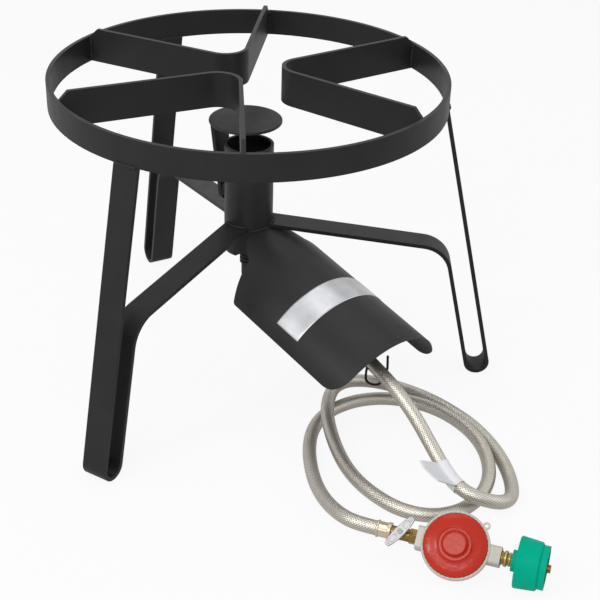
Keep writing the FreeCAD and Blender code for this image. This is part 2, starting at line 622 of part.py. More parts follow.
def regulator_cover():
    """Pressed cover: flange under the rim's lip, sloping shoulder, stepped boss over the spring, open inside."""
    flange = rim_levels()[1]
    inside = RIM_RADIUS - RIM_WALL
    outer = cover_profile()
    shell = [(flange, inside), (flange + COVER_THICK, inside)] + outer + [(flange + COVER_TOP_RISE, 0)]
    solid = turning(shell + [(flange, 0)], "z")
    bends = [edge for edge in solid.Edges if edge.Closed and edge.BoundBox.ZMin > flange + COVER_THICK * 3 / 2]
    solid = solid.makeFillet(COVER_EDGE_ROUND, bends)
    hollow = [(height - COVER_THICK, radius - COVER_THICK) for height, radius in outer]
    top = flange + COVER_TOP_RISE - COVER_THICK
    hollow = [(flange, hollow[0][1])] + hollow[1:] + [(top, 0)]
    return in_train(solid.cut(turning(hollow + [(flange, 0)], "z")))


def diaphragm():
    """Rubber ring clamped between the rim's ledge and the cover, open at the plate's stem."""
    ledge = rim_levels()[0]
    inside = RIM_RADIUS - RIM_WALL
    disc = Part.makeCylinder(inside, DIAPHRAGM_THICK, Vec(0, 0, ledge))
    hole = Part.makeCylinder(DIAPHRAGM_HOLE, DIAPHRAGM_THICK + OVERRUN, Vec(0, 0, ledge - OVERRUN / 2))
    return in_train(disc.cut(hole))


def diaphragm_plate():
    """Plate on the diaphragm with the stem that lifts the lever."""
    base = rim_levels()[1]
    plate = Part.makeCylinder(PLATE_RADIUS, PLATE_THICK, Vec(0, 0, base))
    stem_foot = LEVER_THICK / 2 - LEVER_PIVOT_DEPTH + REST_GAP
    stem = Part.makeCylinder(PLATE_STEM_RADIUS, base - stem_foot, Vec(0, 0, stem_foot))
    return in_train(plate.fuse(stem).removeSplitter())


def regulator_spring():
    """Coil spring over the plate, as the sleeve that its coils fill, with room above for the travel."""
    base = rim_levels()[1] + PLATE_THICK
    top = rim_levels()[1] + COVER_TOP_RISE - COVER_THICK - DIAPHRAGM_TRAVEL - REST_GAP
    sleeve = Part.makeCylinder(SPRING_RADIUS, top - base, Vec(0, 0, base))
    core = Part.makeCylinder(SPRING_RADIUS - SPRING_WIRE, top, Vec(0, 0, base - OVERRUN))
    return in_train(sleeve.cut(core))


def pin_rod():
    """Pivot pin across the lever's ears."""
    reach = LEVER_WIDTH / 2 + LEVER_EAR_GAP + EAR_THICK
    return rod(Vec(LEVER_PIVOT_OUT, -reach, -LEVER_PIVOT_DEPTH), Vec(LEVER_PIVOT_OUT, reach, -LEVER_PIVOT_DEPTH),
               PIN_RADIUS)


def lever_pin():
    """Pin that the lever turns on."""
    return in_train(pin_rod())


def lever():
    """Bell-crank: long arm under the plate's stem, short arm behind the seat plug."""
    half = LEVER_WIDTH / 2
    level = -LEVER_PIVOT_DEPTH
    arm_half = LEVER_THICK / 2
    hub = rod(Vec(LEVER_PIVOT_OUT, -half, level), Vec(LEVER_PIVOT_OUT, half, level), LEVER_HUB_RADIUS)
    long_arm = block(Vec(-LEVER_TIP, -half, level - arm_half), Vec(LEVER_PIVOT_OUT, half, level + arm_half))
    short_arm = block(Vec(LEVER_PIVOT_OUT - arm_half, -half, level),
                      Vec(LEVER_PIVOT_OUT + arm_half, half, level + LEVER_SHORT_ARM))
    bore = rod(Vec(LEVER_PIVOT_OUT, -LEVER_WIDTH, level), Vec(LEVER_PIVOT_OUT, LEVER_WIDTH, level),
               PIN_RADIUS + RUNNING_FIT)
    return in_train(hub.fuse(long_arm).fuse(short_arm).cut(bore).removeSplitter())


def seat_plug():
    """Plug that the lever pushes against the inlet's orifice."""
    start = plug_start()
    return in_train(rod(Vec(start, 0, 0), Vec(start + PLUG_LENGTH, 0, 0), PLUG_RADIUS))


def valve_stem_place():
    """Where the valve's stem stands along the port axis."""
    return -OUTLET_BOSS_REACH - VALVE_STEM_FROM_BOSS


def valve_body():
    """Brass body: threaded end in the regulator, hexagon, barrel, and a tower for the stem."""
    face = -OUTLET_BOSS_REACH
    end = face - VALVE_LENGTH
    place = valve_stem_place()
    body = rod(Vec(face + PORT_THREAD_DEPTH, 0, 0), Vec(face, 0, 0), PORT_THREAD_RADIUS)
    body = body.fuse(hexagon(VALVE_HEX, Vec(face, 0, 0), Vec(face - VALVE_HEX_LENGTH, 0, 0)))
    body = body.fuse(rod(Vec(face - VALVE_HEX_LENGTH, 0, 0), Vec(end, 0, 0), VALVE_RADIUS))
    body = body.fuse(rod(Vec(place, 0, 0), Vec(place, 0, VALVE_TOWER_HEIGHT), VALVE_TOWER_RADIUS))
    body = body.cut(rod(Vec(face + PORT_THREAD_DEPTH, 0, 0), Vec(place, 0, 0), PORT_BORE / 2))
    body = body.cut(rod(Vec(place, 0, STEM_FOOT), Vec(place, 0, VALVE_TOWER_HEIGHT + OVERRUN),
                        STEM_RADIUS + RUNNING_FIT))
    return in_train(body.removeSplitter())


def packing_nut():
    """Nut on the tower that presses the packing round the stem."""
    place = valve_stem_place()
    low = Vec(place, 0, VALVE_TOWER_HEIGHT)
    high = Vec(place, 0, VALVE_TOWER_HEIGHT + PACKING_HEIGHT)
    return in_train(hexagon(PACKING_HEX, low, high).cut(rod(low, high, STEM_RADIUS + RUNNING_FIT)))


def valve_stem():
    """Needle's stem, tapped for the handle's screw."""
    place = valve_stem_place()
    low = Vec(place, 0, STEM_FOOT + REST_GAP)
    high = Vec(place, 0, STEM_HEIGHT)
    tapped = rod(high - Vec(0, 0, SCREW_LENGTH), high, SCREW_RADIUS)
    return in_train(rod(low, high, STEM_RADIUS).cut(tapped))


def valve_handle():
    """Die-cast wing: a hub on the stem and two blades with rounded ends and dished grips."""
    half = HANDLE_LENGTH / 2
    side = HANDLE_WIDTH / 2
    hub_base = STEM_HEIGHT - HANDLE_HUB_HEIGHT
    blade = rounded_face([Vec(-half, -side, 0), Vec(half, -side, 0), Vec(half, side, 0), Vec(-half, side, 0)],
                         [HANDLE_WIDTH * HANDLE_CORNER_SHARE] * 4).extrude(Vec(0, 0, HANDLE_THICK))
    blade.translate(Vec(0, 0, STEM_HEIGHT - HANDLE_THICK))
    wing = blade.fuse(Part.makeCylinder(HANDLE_HUB_RADIUS, HANDLE_HUB_HEIGHT, Vec(0, 0, hub_base)))
    wing = wing.cut(Part.makeCylinder(STEM_RADIUS, STEM_HEIGHT))
    wing.rotate(Vec(0, 0, 0), Vec(0, 0, 1), HANDLE_REST_ANGLE)
    wing.translate(Vec(valve_stem_place(), 0, 0))
    return in_train(wing.removeSplitter())


def handle_screw():
    """Slotted screw that holds the handle on the stem."""
    place = Vec(valve_stem_place(), 0, STEM_HEIGHT)
    up = Vec(0, 0, 1)
    screw = rod(place, place + up * SCREW_HEAD_HEIGHT, SCREW_HEAD_RADIUS)
    screw = screw.fuse(rod(place - up * SCREW_LENGTH, place, SCREW_RADIUS))
    slot = block(Vec(-SCREW_HEAD_RADIUS, -SCREW_SLOT / 2, SCREW_HEAD_HEIGHT / 2),
                 Vec(SCREW_HEAD_RADIUS, SCREW_SLOT / 2, SCREW_HEAD_HEIGHT + OVERRUN))
    slot.translate(place)
    return in_train(screw.cut(slot))


def valve_ferrule():
    """Ferrule on the hose's end at the valve."""
    sleeve = ferrule()
    sleeve.rotate(Vec(0, 0, 0), Vec(0, 0, 1), 180)
    sleeve.translate(Vec(-OUTLET_BOSS_REACH - VALVE_LENGTH, 0, 0))
    return in_train(sleeve)


def coupling_stations():
    """Places along the port axis: nut's collar, nut's body, its inner wall, bushing's end, shoulder's end, mouth."""
    collar = INLET_BOSS_REACH + NIPPLE_HEX_LENGTH + NUT_COLLAR_START
    body = collar + NUT_COLLAR_LENGTH
    wall = body + NUT_WALL
    bushing = wall + BUSHING_LENGTH
    shoulder = bushing + NIPPLE_SHOULDER_LENGTH
    return collar, body, wall, bushing, shoulder, body + NUT_LENGTH + NUT_FLANGE_LENGTH


def inlet_nipple():
    """Brass nipple: threaded end, hexagon, neck through the nut, and the shoulder that the nut pulls on."""
    bushing, shoulder = coupling_stations()[3:5]
    thread = INLET_BOSS_REACH - PORT_THREAD_DEPTH
    hex_end = INLET_BOSS_REACH + NIPPLE_HEX_LENGTH
    profile = [(thread, NIPPLE_BORE), (thread, PORT_THREAD_RADIUS), (INLET_BOSS_REACH, PORT_THREAD_RADIUS),
               (INLET_BOSS_REACH, NIPPLE_RADIUS), (bushing, NIPPLE_RADIUS), (bushing, NIPPLE_SHOULDER_RADIUS),
               (shoulder, NIPPLE_SHOULDER_RADIUS), (shoulder, NIPPLE_BORE)]
    nut = hexagon(NIPPLE_HEX, Vec(INLET_BOSS_REACH, 0, 0), Vec(hex_end, 0, 0))
    nut = nut.cut(rod(Vec(INLET_BOSS_REACH, 0, 0), Vec(hex_end, 0, 0), NIPPLE_RADIUS))
    return in_train(turning(profile, "x").fuse(nut).removeSplitter())


def inlet_probe():
    """Tip in front of the nipple's shoulder that enters the cylinder's valve, stepped for its sealing ring."""
    shoulder, mouth = coupling_stations()[4:]
    tip = mouth + NIPPLE_PROUD
    step = tip - NIPPLE_TIP_LENGTH
    profile = [(shoulder, NIPPLE_BORE), (shoulder, NIPPLE_RADIUS), (step, NIPPLE_RADIUS),
               (step, NIPPLE_TIP_RADIUS), (tip, NIPPLE_TIP_RADIUS), (tip, NIPPLE_BORE)]
    return in_train(turning(profile, "x"))


def coupling_bushing():
    """Heat-sensitive bushing between the nut's wall and the nipple's shoulder."""
    wall, bushing = coupling_stations()[2:4]
    inner = NIPPLE_RADIUS
    profile = [(wall + REST_GAP, inner), (wall + REST_GAP, NIPPLE_SHOULDER_RADIUS),
               (bushing, NIPPLE_SHOULDER_RADIUS), (bushing, inner)]
    return in_train(turning(profile, "x"))


def nipple_seal():
    """Rubber ring against the tip's step."""
    step = coupling_stations()[5] + NIPPLE_PROUD - NIPPLE_TIP_LENGTH
    ring = Part.makeTorus(NIPPLE_TIP_RADIUS + SEAL_WIRE / 2, SEAL_WIRE / 2, Vec(step + SEAL_WIRE / 2, 0, 0),
                          Vec(1, 0, 0))
    return in_train(ring)


def coupling_nut():
    """Hand nut: collar, scalloped grip, stepped flange, and the threaded socket for the cylinder valve."""
    collar, body, wall, bushing, shoulder, mouth = coupling_stations()
    grip_end = body + NUT_LENGTH
    bore = NIPPLE_RADIUS + LOOSE_FIT
    chamfer = NUT_WALL / 3
    grip = NUT_RADIUS - NUT_TAPER
    profile = [(collar, bore), (collar, NUT_COLLAR_RADIUS), (body, NUT_COLLAR_RADIUS), (body, NUT_RADIUS - chamfer),
               (body + chamfer, NUT_RADIUS), (grip_end - chamfer, grip), (grip_end, grip - chamfer),
               (grip_end, NUT_FLANGE_RADIUS), (mouth, NUT_FLANGE_RADIUS), (mouth, NUT_THREAD_RADIUS),
               (wall, NUT_THREAD_RADIUS), (wall, bore)]
    nut = turning(profile, "x")
    middle = NUT_RADIUS + NUT_SCALLOP_RADIUS - NUT_SCALLOP_DEPTH
    for index in range(NUT_SCALLOPS):
        angle = math.radians((index + 1 / 2) * 360 / NUT_SCALLOPS)
        spot = Vec(0, math.cos(angle), math.sin(angle)) * middle
        nut = nut.cut(rod(spot + Vec(body - OVERRUN, 0, 0), spot + Vec(grip_end + OVERRUN, 0, 0), NUT_SCALLOP_RADIUS))
    return in_train(nut)


def hose_route():
    """Points of the hose: square out of each ferrule, and the chosen points between them."""
    heading = math.radians(SHIELD_YAW - 90)
    way = Vec(math.cos(heading), math.sin(heading), 0)
    start = way * (ELBOW_ARM + HOSE_NUT_LENGTH + FERRULE_LENGTH) + Vec(0, 0, ELBOW_AXIS_HEIGHT)
    train = train_placement()
    face = -OUTLET_BOSS_REACH - VALVE_LENGTH - FERRULE_LENGTH
    end = train.multVec(Vec(face, 0, 0))
    before_end = train.multVec(Vec(face - HOSE_END_RUN, 0, 0))
    lying = HOSE_DIAMETER / 2 + HOSE_FLOOR_GAP
    chosen = [Vec(x, y, lying + share * (ELBOW_AXIS_HEIGHT - lying)) for x, y, share in HOSE_DROP]
    chosen += [Vec(x, y, lying + over) for x, y, over in HOSE_FIRST_LOOP + HOSE_SECOND_LOOP]
    after_start = start + way * (start.distanceToPoint(chosen[0]) / 2)
    return [start, after_start] + chosen + [before_end, end]


def hose():
    """Round hose along straight runs joined by tangent arcs as large as the runs allow."""
    points = hose_route()
    edges = []
    radii = []
    last = points[0]
    for before, point, after in zip(points, points[1:], points[2:]):
        first = (point - before).normalize()
        second = (after - point).normalize()
        turn = first.getAngle(second)
        reach = ARC_SHARE * min(point.distanceToPoint(before), point.distanceToPoint(after))
        start = point - first * reach
        end = point + second * reach
        middle = (second - first).normalize()
        radius = reach / math.tan(turn / 2)
        radii.append(radius)
        bow = point + middle * (radius / math.cos(turn / 2) - radius)
        edges.append(Part.LineSegment(last, start).toShape())
        edges.append(Part.Arc(start, bow, end).toShape())
        last = end
    edges.append(Part.LineSegment(last, points[-1]).toShape())
    path = Part.Wire(edges)
    section = Part.Wire(Part.makeCircle(HOSE_DIAMETER / 2, points[0], points[1] - points[0]))
    tube = path.makePipeShell([section], True, False)
    area = math.pi * HOSE_DIAMETER ** 2 / 4
    print("hose: length %.1f, volume over section times length %.5f, valid %s"
          % (path.Length, tube.Volume / (area * path.Length), tube.isValid()))
    print("hose radii:", " ".join("%.0f" % radius for radius in radii))
    return tube


def stand_pieces():
    """Pieces of the stand and the burner, by name."""
    pieces = {"top_ring": top_ring()}
    support = pot_support()
    bent_leg = leg()
    for index, name in enumerate(LEG_NAMES):
        angle = FIRST_LEG_ANGLE + index * 360 / len(LEG_NAMES)
        pieces["pot_support_" + name] = turned(support, angle)
        pieces["leg_" + name] = turned(bent_leg, angle)
    for maker in (burner_tube, flame_spreader, spreader_strap, heat_shield, orifice_bracket, jet_orifice,
                  inlet_elbow):
        pieces[maker.__name__] = maker()
    return pieces


def gas_line_pieces():
    """Pieces of the hose and of the gas train on its far end, by name."""
    makers = (swivel_nut, burner_ferrule, hose, valve_ferrule, valve_body, packing_nut, valve_stem, valve_handle,
              handle_screw, regulator_body, regulator_cover, diaphragm, diaphragm_plate, regulator_spring, lever,
              lever_pin, seat_plug, inlet_nipple, inlet_probe, coupling_bushing, nipple_seal, coupling_nut)
    return {maker.__name__: maker() for maker in makers}


def main():
    """Make every piece, move the origin to the middle of the stand's footprint, and write one file per piece."""
    stand = stand_pieces()
    box = Part.makeCompound(list(stand.values())).BoundBox
    shift = Vec(-(box.XMin + box.XMax) / 2, -(box.YMin + box.YMax) / 2, 0)
    print("origin shift", shift)
    train = train_placement()
    marks = {"valve stem": Vec(valve_stem_place(), 0, 0), "nut": Vec(coupling_stations()[1], 0, 0),
             "lever pivot": Vec(LEVER_PIVOT_OUT, 0, -LEVER_PIVOT_DEPTH), "middle": Vec(0, 0, 0)}
    for name, spot in marks.items():
        print(name, train.multVec(spot) + shift)
    for name, way in (("ports", Vec(1, 0, 0)), ("across", Vec(0, 1, 0)), ("face", Vec(0, 0, 1))):
        print(name, train.Rotation.multVec(way))
    os.makedirs("parts", exist_ok=True)
    for name, shape in {**stand, **gas_line_pieces()}.items():
        shape.translate(shift)
        shape.exportStep("parts/%s.step" % name)
        print(name, "solids", len(shape.Solids), "volume %.1f" % shape.Volume, "valid", shape.isValid())


main()
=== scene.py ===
"""Looks of an outdoor propane cooker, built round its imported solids.

The stand, the burner and most gas fittings keep the shapes of their solids and get procedural
finishes. The braided hose, its crimped ferrules, the regulator's pressed cover, turned nipple and
rim teeth, the wing handle with its pads, the weld beads, the bare plate, the blank flag and the
wire tie are surfaces worked out here. Lengths are in metres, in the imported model's own frame.
"""

import json
import logging
import math
from dataclasses import dataclass, field
from enum import Enum
from itertools import product
from typing import Sequence

import bmesh
import bpy
import numpy as np
from mathutils import Euler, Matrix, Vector


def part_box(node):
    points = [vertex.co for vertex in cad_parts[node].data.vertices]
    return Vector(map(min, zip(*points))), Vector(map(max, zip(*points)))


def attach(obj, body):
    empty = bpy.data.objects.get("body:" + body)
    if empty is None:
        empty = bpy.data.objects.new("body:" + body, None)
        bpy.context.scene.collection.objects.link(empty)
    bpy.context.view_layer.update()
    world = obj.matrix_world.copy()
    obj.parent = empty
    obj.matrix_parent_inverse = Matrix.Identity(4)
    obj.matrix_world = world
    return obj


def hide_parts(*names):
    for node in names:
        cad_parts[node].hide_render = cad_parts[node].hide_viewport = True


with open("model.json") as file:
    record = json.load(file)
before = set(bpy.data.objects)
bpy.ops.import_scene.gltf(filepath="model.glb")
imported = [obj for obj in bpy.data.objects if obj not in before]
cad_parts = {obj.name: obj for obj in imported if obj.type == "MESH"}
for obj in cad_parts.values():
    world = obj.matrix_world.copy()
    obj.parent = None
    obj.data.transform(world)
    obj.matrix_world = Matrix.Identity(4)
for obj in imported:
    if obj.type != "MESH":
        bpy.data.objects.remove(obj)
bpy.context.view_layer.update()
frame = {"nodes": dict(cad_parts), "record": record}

LOG = logging.getLogger("cooker")
Array = np.ndarray
Colour = tuple[float, float, float]
Point = tuple[float, float, float]
Route = tuple[Point, ...]
Profile = tuple[tuple[float, float], ...]
Socket = bpy.types.NodeSocket
Inputs = dict[int | str, object]

STAND = "stand"
VALVE_CONTROL = "valve_control"
TURN = 2 * math.pi
UPRIGHT: Point = (0.0, 0.0, 1.0)
BOTH_WAYS = (1, -1)
MERGE_DISTANCE = 1e-6
SPLINE_ORDER = 3
BEVEL_SAMPLES = 4
# Cosine between the true and the rounded normal: no edge at the first, a full edge at the second.
EDGE_RANGE = (0.99, 0.75)
# Sockets of a Mix node that are in use when it mixes colours.
MIX_SHARE, MIX_FIRST, MIX_SECOND, MIX_RESULT = 0, 6, 7, 2
# A ribbon of the braid is 1 - |x|^4 high across its width, in the mesh and in its material.
CROWN_POWER = 4.0
RIBBON_MAP = "ribbons"
# Direction that the regulator's cover and the valve's handle face.
FACE: Point = (-0.4701051, -0.4383801, 0.76604444)


class Effect(Enum):
    """Shared shader effects, each one node group."""

    MOTTLE = "mottle"
    GRAIN = "grain"
    # Edges made paler, partly for wear and partly as a painted highlight of light on them.
    EDGE = "edge_wear_and_highlight"


@dataclass(frozen=True)
class Noise:
    """Character of a noise texture: how many finer layers it has, and how strong they are."""

    detail: float
    roughness: float


class NodeTree:
    """Short way to add and join shader nodes in one tree."""

    def __init__(self, tree: bpy.types.NodeTree) -> None:
        """Keep the tree to build in."""
        self.tree = tree

    def add(self, kind: str, inputs: Inputs | None = None, **settings: object) -> bpy.types.Node:
        """Add a node.

        Args:
            kind: The node's class name without its ShaderNode prefix, or a NodeGroup name in full.
            inputs: What to feed to its inputs, by name or number.
            settings: Properties to set on the node.

        Returns:
            The new node.
        """
        node = self.tree.nodes.new(kind if kind.startswith("NodeGroup") else "ShaderNode" + kind)
        for name, value in settings.items():
            setattr(node, name, value)
        self.feed(node, inputs or {})
        return node

    def feed(self, node: bpy.types.Node, inputs: Inputs) -> None:
        """Link a node's inputs to other sockets, or set their plain values.

        Args:
            node: The node to feed.
            inputs: An output socket, number, colour or vector for each input, by name or number.
        """
        for key, value in inputs.items():
            socket = node.inputs[key]
            if isinstance(value, Socket):
                self.tree.links.new(value, socket)
            elif isinstance(value, tuple) and socket.type == "RGBA":
                socket.default_value = (*value, 1.0)
            else:
                socket.default_value = value

    def math(self, operation: str, first: object, second: object = 0.0) -> Socket:
        """Result of a Math node of two inputs."""
        return self.add("Math", {0: first, 1: second}, operation=operation).outputs[0]

    def noise(self, vector: object, scale: object, kind: Noise) -> Socket:
        """Value of a noise texture at a place."""
        return self.add("TexNoise", {"Vector": vector, "Scale": scale, "Detail": kind.detail,
                                     "Roughness": kind.roughness}).outputs["Fac"]

    def spread(self, value: object, low: float, high: float) -> Socket:
        """Value stretched so that low becomes 0 and high becomes 1, held between them."""
        return self.add("MapRange", {"Value": value, "From Min": low, "From Max": high},
                        clamp=True).outputs["Result"]

    def blend(self, share: object, first: object, second: object) -> Socket:
        """Colour between two colours."""
        return self.add("Mix", {MIX_SHARE: share, MIX_FIRST: first, MIX_SECOND: second},
                        data_type="RGBA").outputs[MIX_RESULT]


class EffectLibrary:
    """Node groups that more than one finish uses, each built once."""

    PATCHES = Noise(4.0, 0.6)
    PATCH_RANGE = (0.38, 0.66)
    FINE_GRAIN = Noise(3.0, 0.55)
    SLOW_GRAIN = Noise(2.0, 0.5)
    SLOW_SCALE = 0.08
    FINE_SHARE = 0.4
    GRAIN_MIDDLE = 0.5
    BREAKS = Noise(3.0, 0.6)
    BREAK_SCALE = 130.0
    BREAK_RANGE = (0.35, 0.7)

    def __init__(self) -> None:
        """Build every group."""
        self.groups = {Effect.MOTTLE: self.mottle(), Effect.GRAIN: self.grain(),
                       Effect.EDGE: self.edge()}

    @staticmethod
    def start(effect: Effect, inputs: dict[str, str],
              outputs: dict[str, str]) -> tuple[NodeTree, bpy.types.NodeOutputs, bpy.types.Node]:
        """Make an empty group with named sockets.

        Args:
            effect: The effect that names the group.
            inputs: Kind of each input, by name.
            outputs: Kind of each output, by name.

        Returns:
            The group's tree, what it is given, and the node that takes its results.
        """
        tree = bpy.data.node_groups.new(effect.value, "ShaderNodeTree")
        for way, sockets in (("INPUT", inputs), ("OUTPUT", outputs)):
            for name, kind in sockets.items():
                tree.interface.new_socket(name=name, in_out=way, socket_type="NodeSocket" + kind)
        net = NodeTree(tree)
        return net, net.add("NodeGroupInput").outputs, net.add("NodeGroupOutput")

    def mottle(self) -> bpy.types.NodeTree:
        """Slow change of colour over a surface: two colours mixed by soft noise.

        Returns:
            The group.
        """
        net, given, results = self.start(
            Effect.MOTTLE, {"Vector": "Vector", "Scale": "Float", "Amount": "Float",
                            "Base": "Color", "Second": "Color"}, {"Colour": "Color"})
        soft = net.noise(given["Vector"], given["Scale"], self.PATCHES)
        share = net.math("MULTIPLY", net.spread(soft, *self.PATCH_RANGE), given["Amount"])
        net.feed(results, {"Colour": net.blend(share, given["Base"], given["Second"])})
        return net.tree

    def grain(self) -> bpy.types.NodeTree:
        """Fine texture of a surface: a height for bump, and a roughness that varies with it.

        Returns:
            The group.
        """
        net, given, results = self.start(
            Effect.GRAIN, {"Vector": "Vector", "Scale": "Float", "Roughness": "Float",
                           "Spread": "Float"}, {"Height": "Float", "Roughness": "Float"})
        fine = net.noise(given["Vector"], given["Scale"], self.FINE_GRAIN)
        slow_scale = net.math("MULTIPLY", given["Scale"], self.SLOW_SCALE)
        slow = net.noise(given["Vector"], slow_scale, self.SLOW_GRAIN)
        both = net.math("ADD", net.math("MULTIPLY", fine, self.FINE_SHARE),
                        net.math("MULTIPLY", slow, 1 - self.FINE_SHARE))
        change = net.math("MULTIPLY", net.math("SUBTRACT", both, self.GRAIN_MIDDLE),
                          given["Spread"])
        net.feed(results, {"Height": fine,
                           "Roughness": net.math("ADD", given["Roughness"], change)})
        return net.tree

    def edge(self) -> bpy.types.NodeTree:
        """Paler edges, for wear and as a painted highlight: a mask of edges, broken up by noise.

        Returns:
            The group.
        """
        net, given, results = self.start(
            Effect.EDGE, {"Vector": "Vector", "Edge": "Float", "Amount": "Float",
                          "Colour": "Color", "Rubbed": "Color"}, {"Colour": "Color"})
        broken = net.spread(net.noise(given["Vector"], self.BREAK_SCALE, self.BREAKS),
                            *self.BREAK_RANGE)
        # Painted highlight with wear: the broken edge mask lightens the colour towards the edge
        # colour.
        share = net.math("MULTIPLY", net.math("MULTIPLY", given["Edge"], broken), given["Amount"])
        net.feed(results, {"Colour": net.blend(share, given["Colour"], given["Rubbed"])})
        return net.tree

    def place(self, net: NodeTree, effect: Effect, **values: object) -> bpy.types.NodeOutputs:
        """Outputs of an effect placed in a material's tree, with its inputs by name."""
        return net.add("Group", values, node_tree=self.groups[effect]).outputs


def start_material(name: str) -> tuple[bpy.types.Material, NodeTree, bpy.types.Node]:
    """Make a material that has only its shader.

    Args:
        name: The material's name.

    Returns:
        The material, its tree and its Principled shader.
    """
    made = bpy.data.materials.new(name)
    made.use_nodes = True
    return made, NodeTree(made.node_tree), made.node_tree.nodes["Principled BSDF"]


@dataclass(frozen=True)
class Finish:
    """A plain or painted surface: mottled colour, grain, wear and a painted highlight on edges."""

    name: str
    colour: Colour
    second: Colour
    roughness: float
    metallic: float = 0.0
    mottle_scale: float = 22.0
    mottle_amount: float = 0.6
    grain_scale: float = 900.0
    grain_depth: float = 0.00006
    roughness_spread: float = 0.25
    # Edge colour: wear, and a painted highlight where light catches a rounded edge.
    wear_and_highlight_colour: Colour = (0.12, 0.12, 0.12)
    wear_and_highlight_amount: float = 0.5
    edge_radius: float = 0.0006
    specular: float = 0.3

    def material(self, effects: EffectLibrary) -> bpy.types.Material:
        """Build the material.

        Args:
            effects: The shared node groups.

        Returns:
            The finished material.
        """
        made, net, shader = start_material(self.name)
        place = net.add("TexCoord").outputs["Object"]
        rounded = net.add("Bevel", {"Radius": self.edge_radius},
                          samples=BEVEL_SAMPLES).outputs["Normal"]
        flat = net.add("NewGeometry").outputs["Normal"]
        meet = net.add("VectorMath", {0: rounded, 1: flat}, operation="DOT_PRODUCT")
        edge = net.spread(meet.outputs["Value"], *EDGE_RANGE)
        tone = effects.place(net, Effect.MOTTLE, Vector=place, Scale=self.mottle_scale,
                             Amount=self.mottle_amount, Base=self.colour, Second=self.second)
        # Painted highlight with wear: edges are mixed towards the paler edge colour.
        worn_and_highlighted = effects.place(net, Effect.EDGE, Vector=place, Edge=edge, Amount=self.wear_and_highlight_amount,
                             Colour=tone["Colour"], Rubbed=self.wear_and_highlight_colour)
        grain = effects.place(net, Effect.GRAIN, Vector=place, Scale=self.grain_scale,
                              Roughness=self.roughness, Spread=self.roughness_spread)
        bump = net.add("Bump", {"Distance": self.grain_depth, "Height": grain["Height"],
                                "Normal": rounded})
        net.feed(shader, {"Base Color": worn_and_highlighted["Colour"], "Roughness": grain["Roughness"],
                          "Normal": bump.outputs["Normal"], "Metallic": self.metallic,
                          "Specular IOR Level": self.specular})
        return made


@dataclass(frozen=True)
class BraidFinish:
    """Woven stainless wire: ribbons of wires that cross, bright on top, painted shade in the gaps.
    """

    name: str = "braid"
    crown: Colour = (0.62, 0.582, 0.522)
    # Painted shade: the darker colour in the gaps between ribbons and between wires.
    painted_gap_shade: Colour = (0.17, 0.15, 0.12)
    dull_share: float = 0.82
    mottle_scale: float = 60.0
    mottle_amount: float = 0.5
    grain_scale: float = 500.0
    roughness: float = 0.33
    roughness_spread: float = 0.1
    metallic: float = 0.85
    wires: float = 4.0
    wire_share: float = 0.3
    # Heights over which the painted gap shade gives way to the crown's colour.
    crown_range: tuple[float, float] = (0.05, 0.75)
    relief: float = 0.00012

    def weave(self, net: NodeTree) -> tuple[Socket, Socket]:
        """Pattern of the braid from the hose's own ribbon coordinates.

        With f and g the shares of the two counts, its height is (1 - |2f - 1|^4) (1 - |2g - 1|^4).

        Args:
            net: The material's tree.

        Returns:
            Height of the ribbon on top, 0 in the gaps and 1 on its crown, and the wave of the
            wires in it.
        """
        counts = net.add("UVMap", uv_map=RIBBON_MAP).outputs[0]
        ribbons = net.add("SeparateXYZ", {0: counts}).outputs[:2]
        shares = [net.math("FRACT", ribbon) for ribbon in ribbons]
        crowns = []
        for share in shares:
            offset = net.math("SUBTRACT", net.math("MULTIPLY", share, 2.0), 1.0)
            fall = net.math("POWER", net.math("ABSOLUTE", offset), CROWN_POWER)
            crowns.append(net.math("SUBTRACT", 1.0, fall))
        cell = net.math("ADD", *(net.math("FLOOR", ribbon) for ribbon in ribbons))
        on_top = net.math("MODULO", cell, 2.0)
        across = net.math("ADD", net.math("MULTIPLY", on_top, shares[0]),
                          net.math("MULTIPLY", net.math("SUBTRACT", 1.0, on_top), shares[1]))
        wave = net.math("COSINE", net.math("MULTIPLY", across, TURN * self.wires))
        wire = net.math("MULTIPLY", net.math("SUBTRACT", 1.0, wave), 0.5)
        return net.math("MULTIPLY", *crowns), wire

    def material(self, effects: EffectLibrary) -> bpy.types.Material:
        """Build the material.

        Args:
            effects: The shared node groups.

        Returns:
            The finished material.
        """
        made, net, shader = start_material(self.name)
        place = net.add("TexCoord").outputs["Object"]
        height, wire = self.weave(net)
        # Painted shade: the colour darkens from the crown into the gaps and between the wires.
        wires = net.math("ADD", net.math("MULTIPLY", wire, self.wire_share), 1 - self.wire_share)
        shade = net.math("MULTIPLY", height, wires)
        dull = tuple(self.dull_share * part for part in self.crown)
        tone = effects.place(net, Effect.MOTTLE, Vector=place, Scale=self.mottle_scale,
                             Amount=self.mottle_amount, Base=self.crown, Second=dull)
        colour = net.blend(net.spread(shade, *self.crown_range), self.painted_gap_shade, tone["Colour"])
        grain = effects.place(net, Effect.GRAIN, Vector=place, Scale=self.grain_scale,
                              Roughness=self.roughness, Spread=self.roughness_spread)
        bump = net.add("Bump", {"Distance": self.relief, "Height": shade})
        net.feed(shader, {"Base Color": colour, "Roughness": grain["Roughness"],
                          "Normal": bump.outputs["Normal"], "Metallic": self.metallic})
        return made
